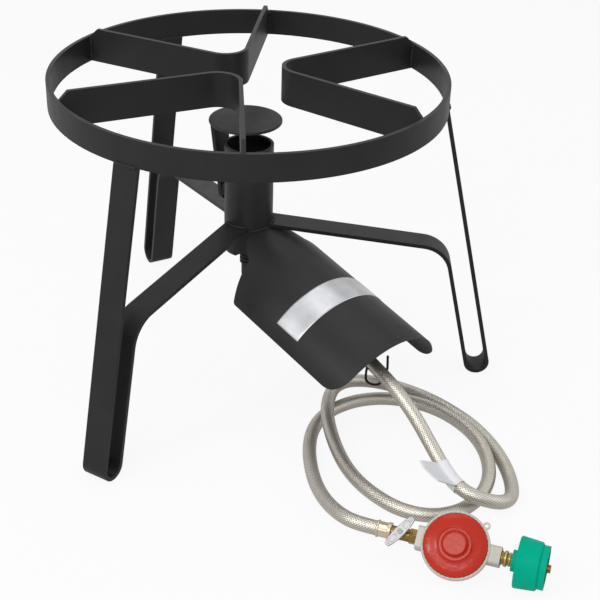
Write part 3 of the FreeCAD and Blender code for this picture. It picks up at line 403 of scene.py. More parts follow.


# Each finish's paler edge colour stands for wear and for a painted highlight on its edges.
FINISHES: dict[str, Finish | BraidFinish] = {
    "black_bar": Finish(
        "satin_black_bar", (0.0182, 0.018, 0.0178), (0.0248, 0.0244, 0.024), 0.44,
        wear_and_highlight_colour=(0.06, 0.06, 0.06), specular=0.16),
    "black_sheet": Finish(
        "satin_black_sheet", (0.0175, 0.0175, 0.0186), (0.023, 0.023, 0.0243), 0.44,
        wear_and_highlight_colour=(0.07, 0.07, 0.07), specular=0.22),
    "black_tube": Finish(
        "satin_black_tube", (0.018, 0.018, 0.0185), (0.024, 0.024, 0.0245), 0.42,
        wear_and_highlight_colour=(0.06, 0.06, 0.06), specular=0.2),
    "brass": Finish(
        "brass", (0.25, 0.15, 0.045), (0.15, 0.088, 0.026), 0.32, metallic=0.8,
        mottle_scale=160.0, grain_scale=1400.0, wear_and_highlight_colour=(0.66, 0.50, 0.24), edge_radius=0.0003),
    "dark_fitting": Finish(
        "blackened_fitting", (0.022, 0.022, 0.022), (0.04, 0.036, 0.033), 0.55, specular=0.2),
    "braid": BraidFinish(),
    "crimp": Finish(
        "pale_brass", (0.58, 0.51, 0.39), (0.45, 0.37, 0.26), 0.34, metallic=0.6,
        wear_and_highlight_colour=(0.72, 0.66, 0.55), edge_radius=0.0003),
    "zinc": Finish(
        "zinc_casting", (0.54, 0.51, 0.45), (0.44, 0.415, 0.365), 0.5, metallic=0.15,
        grain_scale=700.0, grain_depth=0.00012, wear_and_highlight_colour=(0.68, 0.66, 0.62), edge_radius=0.0005),
    "handle": Finish(
        "tumbled_aluminium", (0.42, 0.42, 0.43), (0.28, 0.28, 0.29), 0.4, metallic=0.4,
        mottle_scale=260.0, wear_and_highlight_colour=(0.42, 0.42, 0.42), edge_radius=0.0004),
    "screw_steel": Finish(
        "plated_steel", (0.20, 0.195, 0.18), (0.12, 0.115, 0.105), 0.35, metallic=0.8,
        wear_and_highlight_colour=(0.3, 0.3, 0.28), edge_radius=0.0002),
    "red_cover": Finish(
        "red_enamel", (0.52, 0.025, 0.009), (0.45, 0.020, 0.007), 0.2, grain_scale=240.0,
        grain_depth=0.0003, roughness_spread=0.02, wear_and_highlight_colour=(0.62, 0.07, 0.045),
        edge_radius=0.0009, specular=0.25),
    "rubber": Finish(
        "black_rubber", (0.012, 0.012, 0.012), (0.02, 0.02, 0.02), 0.7, specular=0.2),
    "spring_steel": Finish(
        "spring_steel", (0.38, 0.38, 0.38), (0.30, 0.30, 0.29), 0.35, metallic=0.8,
        edge_radius=0.0002),
    "black_plastic": Finish(
        "black_plastic", (0.02, 0.02, 0.02), (0.03, 0.03, 0.03), 0.45, specular=0.2),
    "green_plastic": Finish(
        "green_plastic", (0.0, 0.44, 0.285), (0.0, 0.39, 0.25), 0.45, grain_scale=1100.0,
        wear_and_highlight_colour=(0.02, 0.52, 0.35), wear_and_highlight_amount=0.35, specular=0.05),
}
BRIGHT_BRASS = Finish(
    "bright_brass", (0.44, 0.31, 0.12), (0.30, 0.20, 0.07), 0.32, metallic=0.8,
    mottle_scale=160.0, grain_scale=1400.0, wear_and_highlight_colour=(0.84, 0.70, 0.42), edge_radius=0.0003)
BARE_PLATE = Finish(
    "bare_plate", (0.62, 0.63, 0.65), (0.44, 0.45, 0.47), 0.34, metallic=0.5,
    mottle_scale=45.0, wear_and_highlight_colour=(0.72, 0.72, 0.72), edge_radius=0.0002)
BLANK_PAPER = Finish(
    "blank_paper", (0.86, 0.87, 0.90), (0.78, 0.79, 0.82), 0.6, wear_and_highlight_colour=(0.9, 0.9, 0.9),
    edge_radius=0.0001, specular=0.1)
TIE_WIRE = Finish(
    "black_wire", (0.010, 0.010, 0.010), (0.016, 0.016, 0.016), 0.4, edge_radius=0.0001,
    specular=0.15)


def grid_faces(rows: int, columns: int, closed: bool) -> Array:
    """Quads of a grid of points.

    Args:
        rows: Points along the grid's length.
        columns: Points across it.
        closed: Whether the last column joins the first.

    Returns:
        Corner indices, one row of four for each quad.
    """
    row, column = np.meshgrid(np.arange(rows - 1), np.arange(columns if closed else columns - 1),
                              indexing="ij")
    following = (column + 1) % columns
    corners = [row * columns + column, row * columns + following,
               (row + 1) * columns + following, (row + 1) * columns + column]
    return np.stack(corners, -1).reshape(-1, 4)


class Workshop:
    """Makes materials once, and turns arrays into pieces of the object."""

    def __init__(self) -> None:
        """Build the effects, and start with no material."""
        self.effects = EffectLibrary()
        self.materials: dict[str, bpy.types.Material] = {}

    def material(self, finish: Finish | BraidFinish) -> bpy.types.Material:
        """Material of a finish, built on first use.

        Args:
            finish: The finish.

        Returns:
            Its material.
        """
        if finish.name not in self.materials:
            self.materials[finish.name] = finish.material(self.effects)
        return self.materials[finish.name]

    def piece(self, name: str, grids: Sequence[Array], slot: str, finish: Finish | None = None,
              body: str = STAND, closed: bool = True, capped: bool = False) -> bpy.types.Object:
        """Make a piece from grids of points, merge its seams and poles, and let it ride on a body.

        Args:
            name: The piece's name.
            grids: Points of its surfaces, each in rows and columns.
            slot: The record's material slot, whose finish it takes unless another is given.
            finish: Its finish, where that isn't the slot's own.
            body: The body that it rides on.
            closed: Whether the last column of a grid joins the first.
            capped: Whether flat faces close the first and the last row of a grid.

        Returns:
            The new object.
        """
        faces, count = [], 0
        for grid in grids:
            rows, columns = grid.shape[:2]
            faces += (grid_faces(rows, columns, closed) + count).tolist()
            if capped:
                ring = np.arange(count, count + columns)
                faces += [ring.tolist(), (ring + (rows - 1) * columns).tolist()]
            count += rows * columns
        points = np.concatenate([grid.reshape(-1, 3) for grid in grids])
        mesh = bpy.data.meshes.new(name)
        mesh.from_pydata(points.tolist(), [], faces)
        shape = bmesh.new()
        shape.from_mesh(mesh)
        bmesh.ops.remove_doubles(shape, verts=shape.verts, dist=MERGE_DISTANCE)
        bmesh.ops.recalc_face_normals(shape, faces=shape.faces)
        shape.to_mesh(mesh)
        shape.free()
        mesh.polygons.foreach_set("use_smooth", np.ones(len(mesh.polygons), bool))
        mesh.materials.append(self.material(finish or FINISHES[slot]))
        made = bpy.data.objects.new(name, mesh)
        bpy.context.scene.collection.objects.link(made)
        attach(made, body)
        LOG.info("%s: %d faces on %s", name, len(mesh.polygons), body)
        return made

    def dress_nodes(self) -> None:
        """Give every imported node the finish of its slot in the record."""
        for part in frame["record"]["subparts"]:
            node = frame["nodes"][part["node"]]
            node.data.materials.clear()
            node.data.materials.append(self.material(FINISHES[part["material_slot"]]))
            LOG.info("%s: finish %s", part["node"], part["material_slot"])


def unit(vectors: Array) -> Array:
    """Vectors scaled to length 1."""
    return vectors / np.linalg.norm(vectors, axis=-1, keepdims=True)


def full_turn(count: int) -> Array:
    """Angles of a full turn, without its end."""
    return np.linspace(0.0, TURN, count, endpoint=False)


def circle(angles: Array | float) -> Array:
    """Points x, y of a circle of radius 1: cos a, sin a."""
    return np.stack([np.cos(angles), np.sin(angles)], -1)


def along(path: Array) -> Array:
    """Length from the start of a path to each of its points."""
    return np.concatenate([[0.0], np.cumsum(np.linalg.norm(np.diff(path, axis=0), axis=1))])


def even_path(path: Array, step: float) -> Array:
    """The same path with its points spaced evenly.

    Args:
        path: Points close together along a smooth line, or the ends of a straight one.
        step: About how far apart the new points are.

    Returns:
        Points spaced evenly from the first to the last.
    """
    length = along(path)
    places = np.linspace(0.0, length[-1], max(2, round(length[-1] / step) + 1))
    return np.stack([np.interp(places, length, part) for part in path.T], -1)


def carried(path: Array, profile: Array, upward: Point = UPRIGHT) -> Array:
    """A flat profile carried along a path: centre + x side + y up, both across the path.

    Args:
        path: The centre line.
        profile: A row of points x, y, or one such row for each point of the path.
        upward: A direction that the path never takes.

    Returns:
        Grid of points, a row for each point of the path.
    """
    forward = unit(np.gradient(path, axis=0))
    side = unit(np.cross(forward, upward))
    up = np.cross(side, forward)
    return path[:, None] + profile[..., :1] * side[:, None] + profile[..., 1:] * up[:, None]


def tube(path: Array, radius: Array, angles: Array, upward: Point = UPRIGHT) -> Array:
    """A round profile carried along a path: centre + radius (cos a side + sin a up).

    Args:
        path: The centre line.
        radius: Radius at each point, or at each point and angle.
        angles: Angles round the profile.
        upward: A direction that the path never takes.

    Returns:
        Grid of points, a row for each point of the path.
    """
    return carried(path, radius.reshape(len(path), -1, 1) * circle(angles), upward)


def round_ends(path: Array, radius: float) -> Array:
    """Radius that ends a tube in half balls: r sqrt(1 - (1 - d / r)^2) at d from the nearer end.

    Args:
        path: The tube's centre line.
        radius: Its radius r, which it has where d is r or more.

    Returns:
        Radius at each point.
    """
    length = along(path)
    share = np.minimum(1.0, np.minimum(length, length[-1] - length) / radius)
    return radius * np.sqrt(np.clip(1 - (1 - share) ** 2, 0.0, 1.0))


def turned(place: Point, axis: Array | Point, start: Array | Point, reach: Array, lift: Array,
           angles: Array) -> Array:
    """Points about an axis: place + lift axis + reach (cos a start + sin a axis x start).

    Args:
        place: A point of the axis.
        axis: Its direction.
        start: Direction of the angle 0, square to the axis.
        reach: Distances from the axis, a row for each ring.
        lift: Heights along the axis, in the same rows.
        angles: Angles round it.

    Returns:
        Grid of points, a row for each ring.
    """
    about = circle(angles) @ np.stack([start, np.cross(axis, start)])
    return np.array(place) + reach[..., None] * about + lift[..., None] * np.array(axis)


def spline_points(name: str, route: Array, resolution: int) -> Array:
    """Points of the smooth line that a route's points control.

    Args:
        name: Name for the line while it exists.
        route: The control points.
        resolution: Points for each of them.

    Returns:
        Points read from the line.
    """
    line = bpy.data.curves.new(name, "CURVE")
    line.dimensions = "3D"
    line.resolution_u = resolution
    spline = line.splines.new("NURBS")
    spline.points.add(len(route) - 1)
    spline.points.foreach_set("co", np.column_stack([route, np.ones(len(route))]).ravel())
    spline.order_u = SPLINE_ORDER
    spline.use_endpoint_u = True
    holder = bpy.data.objects.new(name, line)
    bpy.context.scene.collection.objects.link(holder)
    bpy.context.view_layer.update()
    mesh = bpy.data.meshes.new_from_object(holder)
    points = mesh_points(mesh)
    bpy.data.objects.remove(holder)
    bpy.data.meshes.remove(mesh)
    bpy.data.curves.remove(line)
    return points


def mesh_points(mesh: bpy.types.Mesh) -> Array:
    """Points of a mesh.

    Args:
        mesh: The mesh.

    Returns:
        Points, one row each.
    """
    points = np.empty(len(mesh.vertices) * 3)
    mesh.vertices.foreach_get("co", points)
    return points.reshape(-1, 3)


def burner_place() -> Array:
    """Where the burner's axis meets the floor, from the burner tube's box."""
    low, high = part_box("burner_tube")
    return np.array([(low.x + high.x) / 2, (low.y + high.y) / 2, 0.0])


@dataclass
class Hose:
    """Braided hose from the ferrule under the shield to the one at the valve.

    The route's points are those of the solid, measured from the burner's axis.
    """

    diameter: float = 0.014
    length: float = 1.503
    strands: int = 16
    braid_depth: float = 0.00018
    ring_step: float = 0.00078
    sides: int = 48
    resolution: int = 16
    exit: Route = ((0.01319, -0.05391, 0.112), (0.02229, -0.09111, 0.112))
    drop: Route = (
        (0.0314, -0.1282, 0.10802), (0.0385, -0.163, 0.09953), (0.0453, -0.1975, 0.09063),
        (0.0503, -0.2297, 0.08162), (0.0558, -0.2577, 0.0657), (0.06, -0.2805, 0.04674),
        (0.0614, -0.3032, 0.03323))
    first_loop: Route = (
        (0.061, -0.322, 0.02765), (0.0645, -0.341, 0.02565), (0.0775, -0.354, 0.02165),
        (0.095, -0.3585, 0.01515), (0.1125, -0.351, 0.00945), (0.1255, -0.3345, 0.00725),
        (0.1355, -0.314, 0.00725), (0.1435, -0.29, 0.00725), (0.1485, -0.262, 0.00725),
        (0.1496, -0.231, 0.00725), (0.144, -0.199, 0.00725), (0.1345, -0.168, 0.00725),
        (0.119, -0.139, 0.00725), (0.099, -0.1165, 0.00815), (0.0726, -0.109, 0.01315),
        (0.046, -0.1205, 0.02085), (0.0256, -0.1412, 0.02465), (0.0094, -0.166, 0.02415),
        (-0.0006, -0.195, 0.01705), (-0.0061, -0.226, 0.00925))
    second_loop: Route = (
        (-0.0076, -0.256, 0.00725), (-0.0036, -0.286, 0.00725), (0.0066, -0.3152, 0.00725),
        (0.0279, -0.3369, 0.00725), (0.0572, -0.3435, 0.00725), (0.087, -0.335, 0.00755),
        (0.1115, -0.316, 0.00875), (0.1275, -0.2905, 0.01085), (0.1356, -0.262, 0.01285),
        (0.1362, -0.23, 0.01305), (0.1288, -0.1965, 0.01205), (0.1115, -0.165, 0.00945),
        (0.084, -0.1435, 0.00755), (0.053, -0.1375, 0.00725), (0.02, -0.144, 0.00725),
        (-0.0063, -0.1639, 0.00725), (-0.0259, -0.1927, 0.00725), (-0.0395, -0.2226, 0.00745),
        (-0.0492, -0.2515, 0.00965), (-0.0557, -0.2815, 0.01515), (-0.057, -0.31, 0.02125))
    finish_at: Route = ((-0.05104, -0.32976, 0.02375), (-0.0374, -0.34438, 0.02375))
    path: Array = field(init=False, repr=False)

    def __post_init__(self) -> None:
        """Find the hose's smooth centre line, in even steps."""
        route = np.array(self.exit + self.drop + self.first_loop + self.second_loop
                         + self.finish_at)
        line = spline_points("hose_line", route + burner_place(), self.resolution)
        self.path = even_path(line, self.ring_step)

    def ends(self) -> tuple[Array, Array]:
        """The last two points at the burner and at the valve, the end itself first."""
        return self.path[:2], self.path[:-3:-1]

    def ribbons(self, angles: Array) -> tuple[Array, Array]:
        """Coordinates that count the braid's two families of ribbons, which cross at 45 degrees.

        Args:
            angles: Angles round the hose.

        Returns:
            Count of the ribbons of each family, a row for each point of the path and a column for
            each angle.
        """
        turn = angles[None, :] * self.strands / TURN
        run = along(self.path)[:, None] * self.strands / (math.pi * self.diameter)
        # An even number keeps the second count above 0, and the ribbon on top where it is.
        even = 2.0 * math.ceil(run.max())
        return turn + run, turn - run + even

    def build(self, shop: Workshop) -> bpy.types.Object:
        """Make the hose as a tube with its braid in relief.

        The height of a ribbon's crown is (1 - |2f - 1|^4) (1 - |2g - 1|^4), with f and g the
        shares of the two families' counts.

        Args:
            shop: Makes the piece.

        Returns:
            The hose.
        """
        angles = full_turn(self.sides)
        height = np.prod([1 - np.abs(2 * (count % 1) - 1) ** CROWN_POWER
                          for count in self.ribbons(angles)], axis=0)
        radius = self.diameter / 2 - self.braid_depth * (1 - height)
        made = shop.piece("braided_hose", [tube(self.path, radius, angles)], "braid", capped=True)
        self.map_ribbons(made.data)
        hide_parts("hose")
        return made

    def map_ribbons(self, mesh: bpy.types.Mesh) -> None:
        """Write the ribbon counts into a UV map, whichever corner a face starts from.

        The counts come from the grid cut open, so that its last column isn't its first.

        Args:
            mesh: The hose's mesh, its quads before its caps.
        """
        faces = grid_faces(len(self.path), self.sides, True)
        corners = grid_faces(len(self.path), self.sides + 1, False)
        counts = np.stack(self.ribbons(np.append(full_turn(self.sides), TURN)), -1).reshape(-1, 2)
        loops = np.empty(len(mesh.loops), int)
        mesh.loops.foreach_get("vertex_index", loops)
        same = loops[:faces.size].reshape(-1, 4)[:, :, None] == faces[:, None, :]
        placed = np.zeros((len(loops), 2))
        matched = np.take_along_axis(corners, same.argmax(-1), axis=1)
        placed[:faces.size] = counts[matched].reshape(-1, 2)
        mesh.uv_layers.new(name=RIBBON_MAP).data.foreach_set("uv", placed.ravel())


@dataclass
class Ferrule:
    """Crimped sleeve at an end of the hose: flats pressed in between two round lips."""

    radius: float = 0.0074
    lip: float = 0.0008
    length: float = 0.0135
    lip_lengths: tuple[float, float] = (0.0015, 0.003)
    flats: int = 8
    press: float = 0.0007
    edge: float = 0.0003
    rings: int = 109
    steps_per_flat: int = 12
    upward: Point = (0.11, 0.07, 0.99)

    def build(self, shop: Workshop, node: str, ends: Array) -> bpy.types.Object:
        """Make the sleeve.

        With the share w of a place between the lips, which falls to 0 over an edge's length at
        each of them, the radius is r + lip (1 - w) - press w |cos(flats a / 2)|.

        Args:
            shop: Makes the piece.
            node: The solid that it stands for.
            ends: The hose's end in it, and the point before that.

        Returns:
            The sleeve.
        """
        places = np.linspace(0.0, self.length, self.rings)
        angles = full_turn(self.flats * self.steps_per_flat)
        near, far = self.lip_lengths
        inside = np.minimum(places - near, self.length - far - places)
        between = np.clip(inside / self.edge, 0.0, 1.0)
        from_end = np.minimum(places, self.length - places)
        turned_in = self.edge * (1 - np.sqrt(np.clip(from_end / self.edge, 0.0, 1.0)))
        flat = np.abs(np.cos(self.flats * angles / 2))
        radius = ((self.radius + self.lip * (1 - between) - turned_in)[:, None]
                  - self.press * between[:, None] * flat)
        path = ends[0] + places[:, None] * unit(ends[0] - ends[1])
        made = shop.piece(node + "_crimped", [tube(path, radius, angles, self.upward)], "crimp",
                          capped=True)
        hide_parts(node)
        return made


@dataclass
class Regulator:
    """The regulator's pressed cover, its turned nipple, and the small teeth round its rim."""

    place: Point = (0.0132, -0.41960943, 0.02375)
    ports: Point = (0.68199836, -0.7313537, 0.0)
    cover: Profile = (
        (0.0, 0.0066), (0.0296, 0.0066), (0.0296, 0.0078), (0.0292, 0.0078), (0.0291, 0.0090),
        (0.0272, 0.0098), (0.0240, 0.0108), (0.0205, 0.0114), (0.0176, 0.0119), (0.0160, 0.0124),
        (0.0153, 0.0132), (0.0150, 0.0140), (0.0141, 0.0141), (0.0128, 0.0141), (0.0120, 0.0144),
        (0.0115, 0.0154), (0.0110, 0.0168), (0.0106, 0.0179), (0.0100, 0.0182), (0.0085, 0.0183),
        (0.0040, 0.0182), (0.0, 0.0182))
    cover_resolution: int = 8
    cover_sides: int = 144
    nipple: Profile = (
        (0.0313, 0.0), (0.0313, 0.0046), (0.0413, 0.0049), (0.0415, 0.0062), (0.0421, 0.0066),
        (0.0428, 0.0066), (0.0432, 0.0054), (0.0437, 0.0054), (0.0441, 0.0068), (0.0449, 0.0074),
        (0.0466, 0.0074), (0.0473, 0.0068), (0.0476, 0.0056), (0.0482, 0.0056), (0.0485, 0.0064),
        (0.0496, 0.0065), (0.0503, 0.0061), (0.0623, 0.0060), (0.0623, 0.0118), (0.0653, 0.0118),
        (0.0653, 0.0))
    nipple_sides: int = 64
    teeth: int = 44
    teeth_inner: float = 0.0291
    teeth_outer: float = 0.0315
    teeth_base: float = 0.0084
    tooth_height: float = 0.0008
    tooth_power: float = 0.6
    gap_width: float = 0.62
    gap_height: float = 0.45
    steps_per_tooth: int = 12
    ridge_sides: int = 14

    def build_cover(self, shop: Workshop) -> bpy.types.Object:
        """Make the cover: a smooth line through its profile, turned about the axis.

        Args:
            shop: Makes the piece.

        Returns:
            The cover.
        """
        route = np.insert(np.array(self.cover), 1, 0.0, axis=1)
        line = spline_points("cover_line", route, self.cover_resolution)
        grid = turned(self.place, FACE, self.ports, line[:, :1], line[:, 2:],
                      full_turn(self.cover_sides))
        made = shop.piece("pressed_cover", [grid], "red_cover")
        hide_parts("regulator_cover")
        return made

    def build_nipple(self, shop: Workshop) -> bpy.types.Object:
        """Make the brass nipple: a profile of bands and grooves turned about the ports' line.

        Args:
            shop: Makes the piece.

        Returns:
            The nipple.
        """
        stations, radii = np.array(self.nipple).T[..., None]
        grid = turned(self.place, self.ports, np.cross(FACE, self.ports), radii, stations,
                      full_turn(self.nipple_sides))
        made = shop.piece("turned_nipple", [grid], "brass", BRIGHT_BRASS)
        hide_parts("inlet_nipple")
        return made

    def build_teeth(self, shop: Workshop) -> bpy.types.Object:
        """Make the teeth: a low oval ridge round the rim, higher and wider at each tooth.

        Args:
            shop: Makes the piece.

        Returns:
            The ring of teeth.
        """
        angles = full_turn(self.teeth * self.steps_per_tooth)
        tooth = np.abs(np.cos(self.teeth * angles / 2)) ** self.tooth_power
        section = full_turn(self.ridge_sides)[:, None]
        half = (self.teeth_outer - self.teeth_inner) / 2
        width = half * (self.gap_width + (1 - self.gap_width) * tooth)
        height = self.tooth_height * (self.gap_height + (1 - self.gap_height) * tooth)
        reach = self.teeth_outer - width * (1 - np.cos(section))
        lift = self.teeth_base + height * np.sin(section)
        grid = turned(self.place, FACE, self.ports, reach, lift, angles)
        return shop.piece("rim_teeth", [np.concatenate([grid, grid[:1]])], "zinc")


@dataclass
class Handle:
    """The valve's wing handle: a blade that narrows to its tips, on a round hub, with raised pads.

    Its forms are worked out along the wings, across them and over the blade's upper face.
    """

    length: float = 0.035
    tip_half: float = 0.0026
    middle_half: float = 0.0047
    thick: float = 0.0026
    rounding: float = 0.0005
    edge_steps: int = 5
    flat_inset: float = 2.0
    hub_radius: float = 0.0044
    hub_height: float = 0.003
    pad: tuple[float, float] = (0.0048, 0.0125)
    pad_half: float = 0.0024
    stud: tuple[float, float] = (0.0136, 0.0156)
    stud_half: float = 0.0012
    rise: float = 0.0004
    sides: int = 64
    squareness: int = 8
    mound_rings: Profile = (
        (0.0, 1.0), (0.5, 1.0), (0.8, 1.0), (0.88, 0.96), (0.94, 0.8), (0.98, 0.45), (1.0, -0.1),
        (0.0, -0.1))

    def outline(self) -> Array:
        """Points round a square of half width 1 with round corners: |u|^n + |v|^n = 1.

        Returns:
            Points u, v.
        """
        points = circle(full_turn(self.sides))
        reach = (points ** self.squareness).sum(-1, keepdims=True) ** (1 / self.squareness)
        return points / reach

    @staticmethod
    def stacked(rings: Array, heights: Array) -> Array:
        """Flat rings of points, each set at its own height."""
        return np.dstack([rings, np.broadcast_to(heights[:, None], rings.shape[:2])])

    def blade(self) -> Array:
        """The blade, whose half width is tip + (middle - tip) (1 - u^2), with round edges.

        A ring on each flat face, flat_inset roundings in from the edge, keeps the face flat.

        Returns:
            Grid of rings, from the middle of the upper face over the edge to that of the lower.
        """
        u, v = self.outline().T
        half = self.tip_half + (self.middle_half - self.tip_half) * (1 - u ** 2)
        bend = np.linspace(0.0, math.pi / 2, self.edge_steps)
        over, under = 1 - np.sin(bend), 1 - np.cos(bend)
        flat = [self.flat_inset]
        inset = self.rounding * np.concatenate([flat, over, under, flat])[:, None]
        drop = np.concatenate([[0.0, 0.0], self.rounding * under,
                               self.thick - self.rounding * over, [self.thick] * 2])
        rings = np.stack([u * (self.length / 2 - inset), v * (half - inset)], -1)
        middle = np.zeros_like(rings[:1])
        return self.stacked(np.concatenate([middle, rings, middle]), -drop)

    def hub(self) -> Array:
        """The round hub under the blade.

        Returns:
            Grid of rings, from the middle of its top to that of its bottom.
        """
        share = np.array([0.0, 1.0, 1.0, 0.0])[:, None, None]
        depth = np.repeat([self.thick / 2, self.hub_height], 2)
        return self.stacked(share * self.hub_radius * circle(full_turn(self.sides)), -depth)

    def mound(self, way: int, near: float, far: float, half: float) -> Array:
        """A flat-topped mound on a wing, over a rectangle with round corners, closed underneath.

        Args:
            way: Which wing, 1 or -1.
            near: Where it starts along the wing.
            far: Where it ends.
            half: Half of its width.

        Returns:
            Grid of rings, from the middle of its top to that of its bottom.
        """
        share, height = np.array(self.mound_rings).T
        edge = self.outline() * ((far - near) / 2, half)
        rings = share[:, None, None] * edge + (way * (near + far) / 2, 0.0)
        return self.stacked(rings, self.rise * height)

    def seat(self) -> tuple[Array, Array]:
        """Where the handle goes, by the points of its solid.

        Returns:
            The middle of the blade's upper face, and the directions along, across and over it.
        """
        points = mesh_points(frame["nodes"]["valve_handle"].data)
        face = np.array(FACE)
        middle = (points.min(0) + points.max(0)) / 2
        height = (points - middle) @ face
        flat = points - middle - height[:, None] * face
        long = np.linalg.svd(flat, full_matrices=False)[2][0]
        return middle + height.max() * face, np.stack([long, np.cross(face, long), face])

    def build(self, shop: Workshop) -> list[bpy.types.Object]:
        """Make the handle and its pads.

        Args:
            shop: Makes the pieces.

        Returns:
            The handle and the pads.
        """
        top, axes = self.seat()
        wing = shop.piece("wing_handle", [top + form @ axes for form in (self.blade(), self.hub())],
                          "handle", body=VALVE_CONTROL)
        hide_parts("valve_handle")
        marks = ((*self.pad, self.pad_half), (*self.stud, self.stud_half))
        mounds = [self.mound(way, *mark) for way, mark in product(BOTH_WAYS, marks)]
        pads = shop.piece("handle_pads", [top + mound @ axes for mound in mounds], "handle",
                          body=VALVE_CONTROL)
        return [wing, pads]


@dataclass
class Flag:
    """Blank paper flag folded round the hose, with its two leaves stuck together as a tail."""

    start: float = 0.2685
    width: float = 0.033
    tail: float = 0.037
    thickness: float = 0.0003
    tail_angle: float = math.radians(37)
    parting: float = 0.2
    closing: float = 0.0015
    wrap_steps: int = 40
    tail_steps: int = 25

    def build(self, shop: Workshop, hose: Hose) -> bpy.types.Object:
        """Make the flag: a line round the hose's section and out along the tail, carried along it.

        The leaves part by t + (p - t) exp(-d / c), with t the paper, p their parting at the hose,
        d the distance from it and c the closing length.

        Args:
            shop: Makes the piece.
            hose: The hose that it is folded round.

        Returns:
            The flag.
        """
        length = along(hose.path)
        path = hose.path[(length >= self.start) & (length <= self.start + self.width)]
        radius = hose.diameter / 2 + self.thickness
        turns = np.linspace(self.tail_angle - TURN + self.parting, self.tail_angle - self.parting,
                            self.wrap_steps)
        out = circle(self.tail_angle)
        reach = self.tail * np.linspace(0.0, 1.0, self.tail_steps)[1:, None] ** 2
        parted = radius * math.sin(self.parting) - self.thickness
        apart = self.thickness + parted * np.exp(-reach / self.closing)
        middle = (radius * math.cos(self.parting) + reach) * out
        aside = apart * np.array([-out[1], out[0]])
        leaf = np.concatenate([(middle + aside)[::-1], radius * circle(turns), middle - aside])
        made = shop.piece("blank_flag", [carried(path, leaf)], "braid", BLANK_PAPER, closed=False)
        wall = made.modifiers.new("paper", "SOLIDIFY")
        wall.thickness = self.thickness
        wall.offset = 0.0
        return made


@dataclass
class WireTie:
    """Black wire hooked round the hose where it comes out from under the shield."""

    radius: float = 0.0013
    ring_step: float = 0.0012
    sides: int = 10
    resolution: int = 10
    upward: Point = (0.3, -0.9, 0.2)
    route: Route = (
        (0.0405, -0.1911, 0.0945), (0.0365, -0.1945, 0.0880), (0.0342, -0.1978, 0.0822),
        (0.0335, -0.1998, 0.0792), (0.0352, -0.2040, 0.0774), (0.0395, -0.2075, 0.0766),
        (0.0450, -0.2080, 0.0765), (0.0520, -0.2065, 0.0800), (0.0552, -0.2045, 0.0880),
        (0.0560, -0.2030, 0.0960), (0.0575, -0.2000, 0.1030))

    def build(self, shop: Workshop) -> bpy.types.Object:
        """Make the wire as a thin tube with round ends along its line.

        Args:
            shop: Makes the piece.

        Returns:
            The wire.
        """
        line = spline_points("tie_line", np.array(self.route) + burner_place(), self.resolution)
        path = even_path(line, self.ring_step)
        grid = tube(path, round_ends(path, self.radius), full_turn(self.sides), self.upward)
        return shop.piece("wire_tie", [grid], "black_plastic", TIE_WIRE)


@dataclass
class Shield:
    """The heat shield's own surface, and the bare plate on it."""

    radius: float = 0.0767
    slope: float = math.radians(12.8)
    yaw: float = math.radians(13.75 - 90)
    back: float = 0.0506
    height: float = 0.0908
    plate_from: float = 0.057
    plate_to: float = 0.089
    plate_half_angle: float = math.radians(52)
    plate_thick: float = 0.0004
    plate_sunk: float = 0.0001
    plate_rows: int = 25
    plate_columns: int = 97

    def surface(self, lengthwise: Array, around: Array, lift: Array | float) -> Array:
        """Points over the arch: an arc of the radius about an axis that slopes down to the front.

        Args:
            lengthwise: Lengths along the axis, one for each row.
            around: Angles from the crown, one for each column.
            lift: Heights over the sheet's face, one for each column or for all.

        Returns:
            Grid of points, measured from the burner's axis.
        """
        reach = self.radius + lift
        x, y, z = lengthwise[:, None], reach * np.sin(around), reach * np.cos(around)
        out = x * math.cos(self.slope) + z * math.sin(self.slope) + self.back
        up = z * math.cos(self.slope) - x * math.sin(self.slope) + self.height
        return np.stack([out * math.cos(self.yaw) - y * math.sin(self.yaw),
                         out * math.sin(self.yaw) + y * math.cos(self.yaw), up], -1)

    def build(self, shop: Workshop) -> bpy.types.Object:
        """Make the plate: a thin band of the arch, proud of the sheet and sunk a little into it.

        Args:
            shop: Makes the piece.

        Returns:
            The plate.
        """
        lengthwise = np.linspace(self.plate_from, self.plate_to, self.plate_rows)
        over = np.linspace(-self.plate_half_angle, self.plate_half_angle, self.plate_columns)
        around = np.concatenate([over, over[::-1]])
        lift = np.repeat([self.plate_thick, -self.plate_sunk], len(over))
        grid = self.surface(lengthwise, around, lift) + burner_place()
        return shop.piece("bare_plate", [grid], "handle", BARE_PLATE, capped=True)


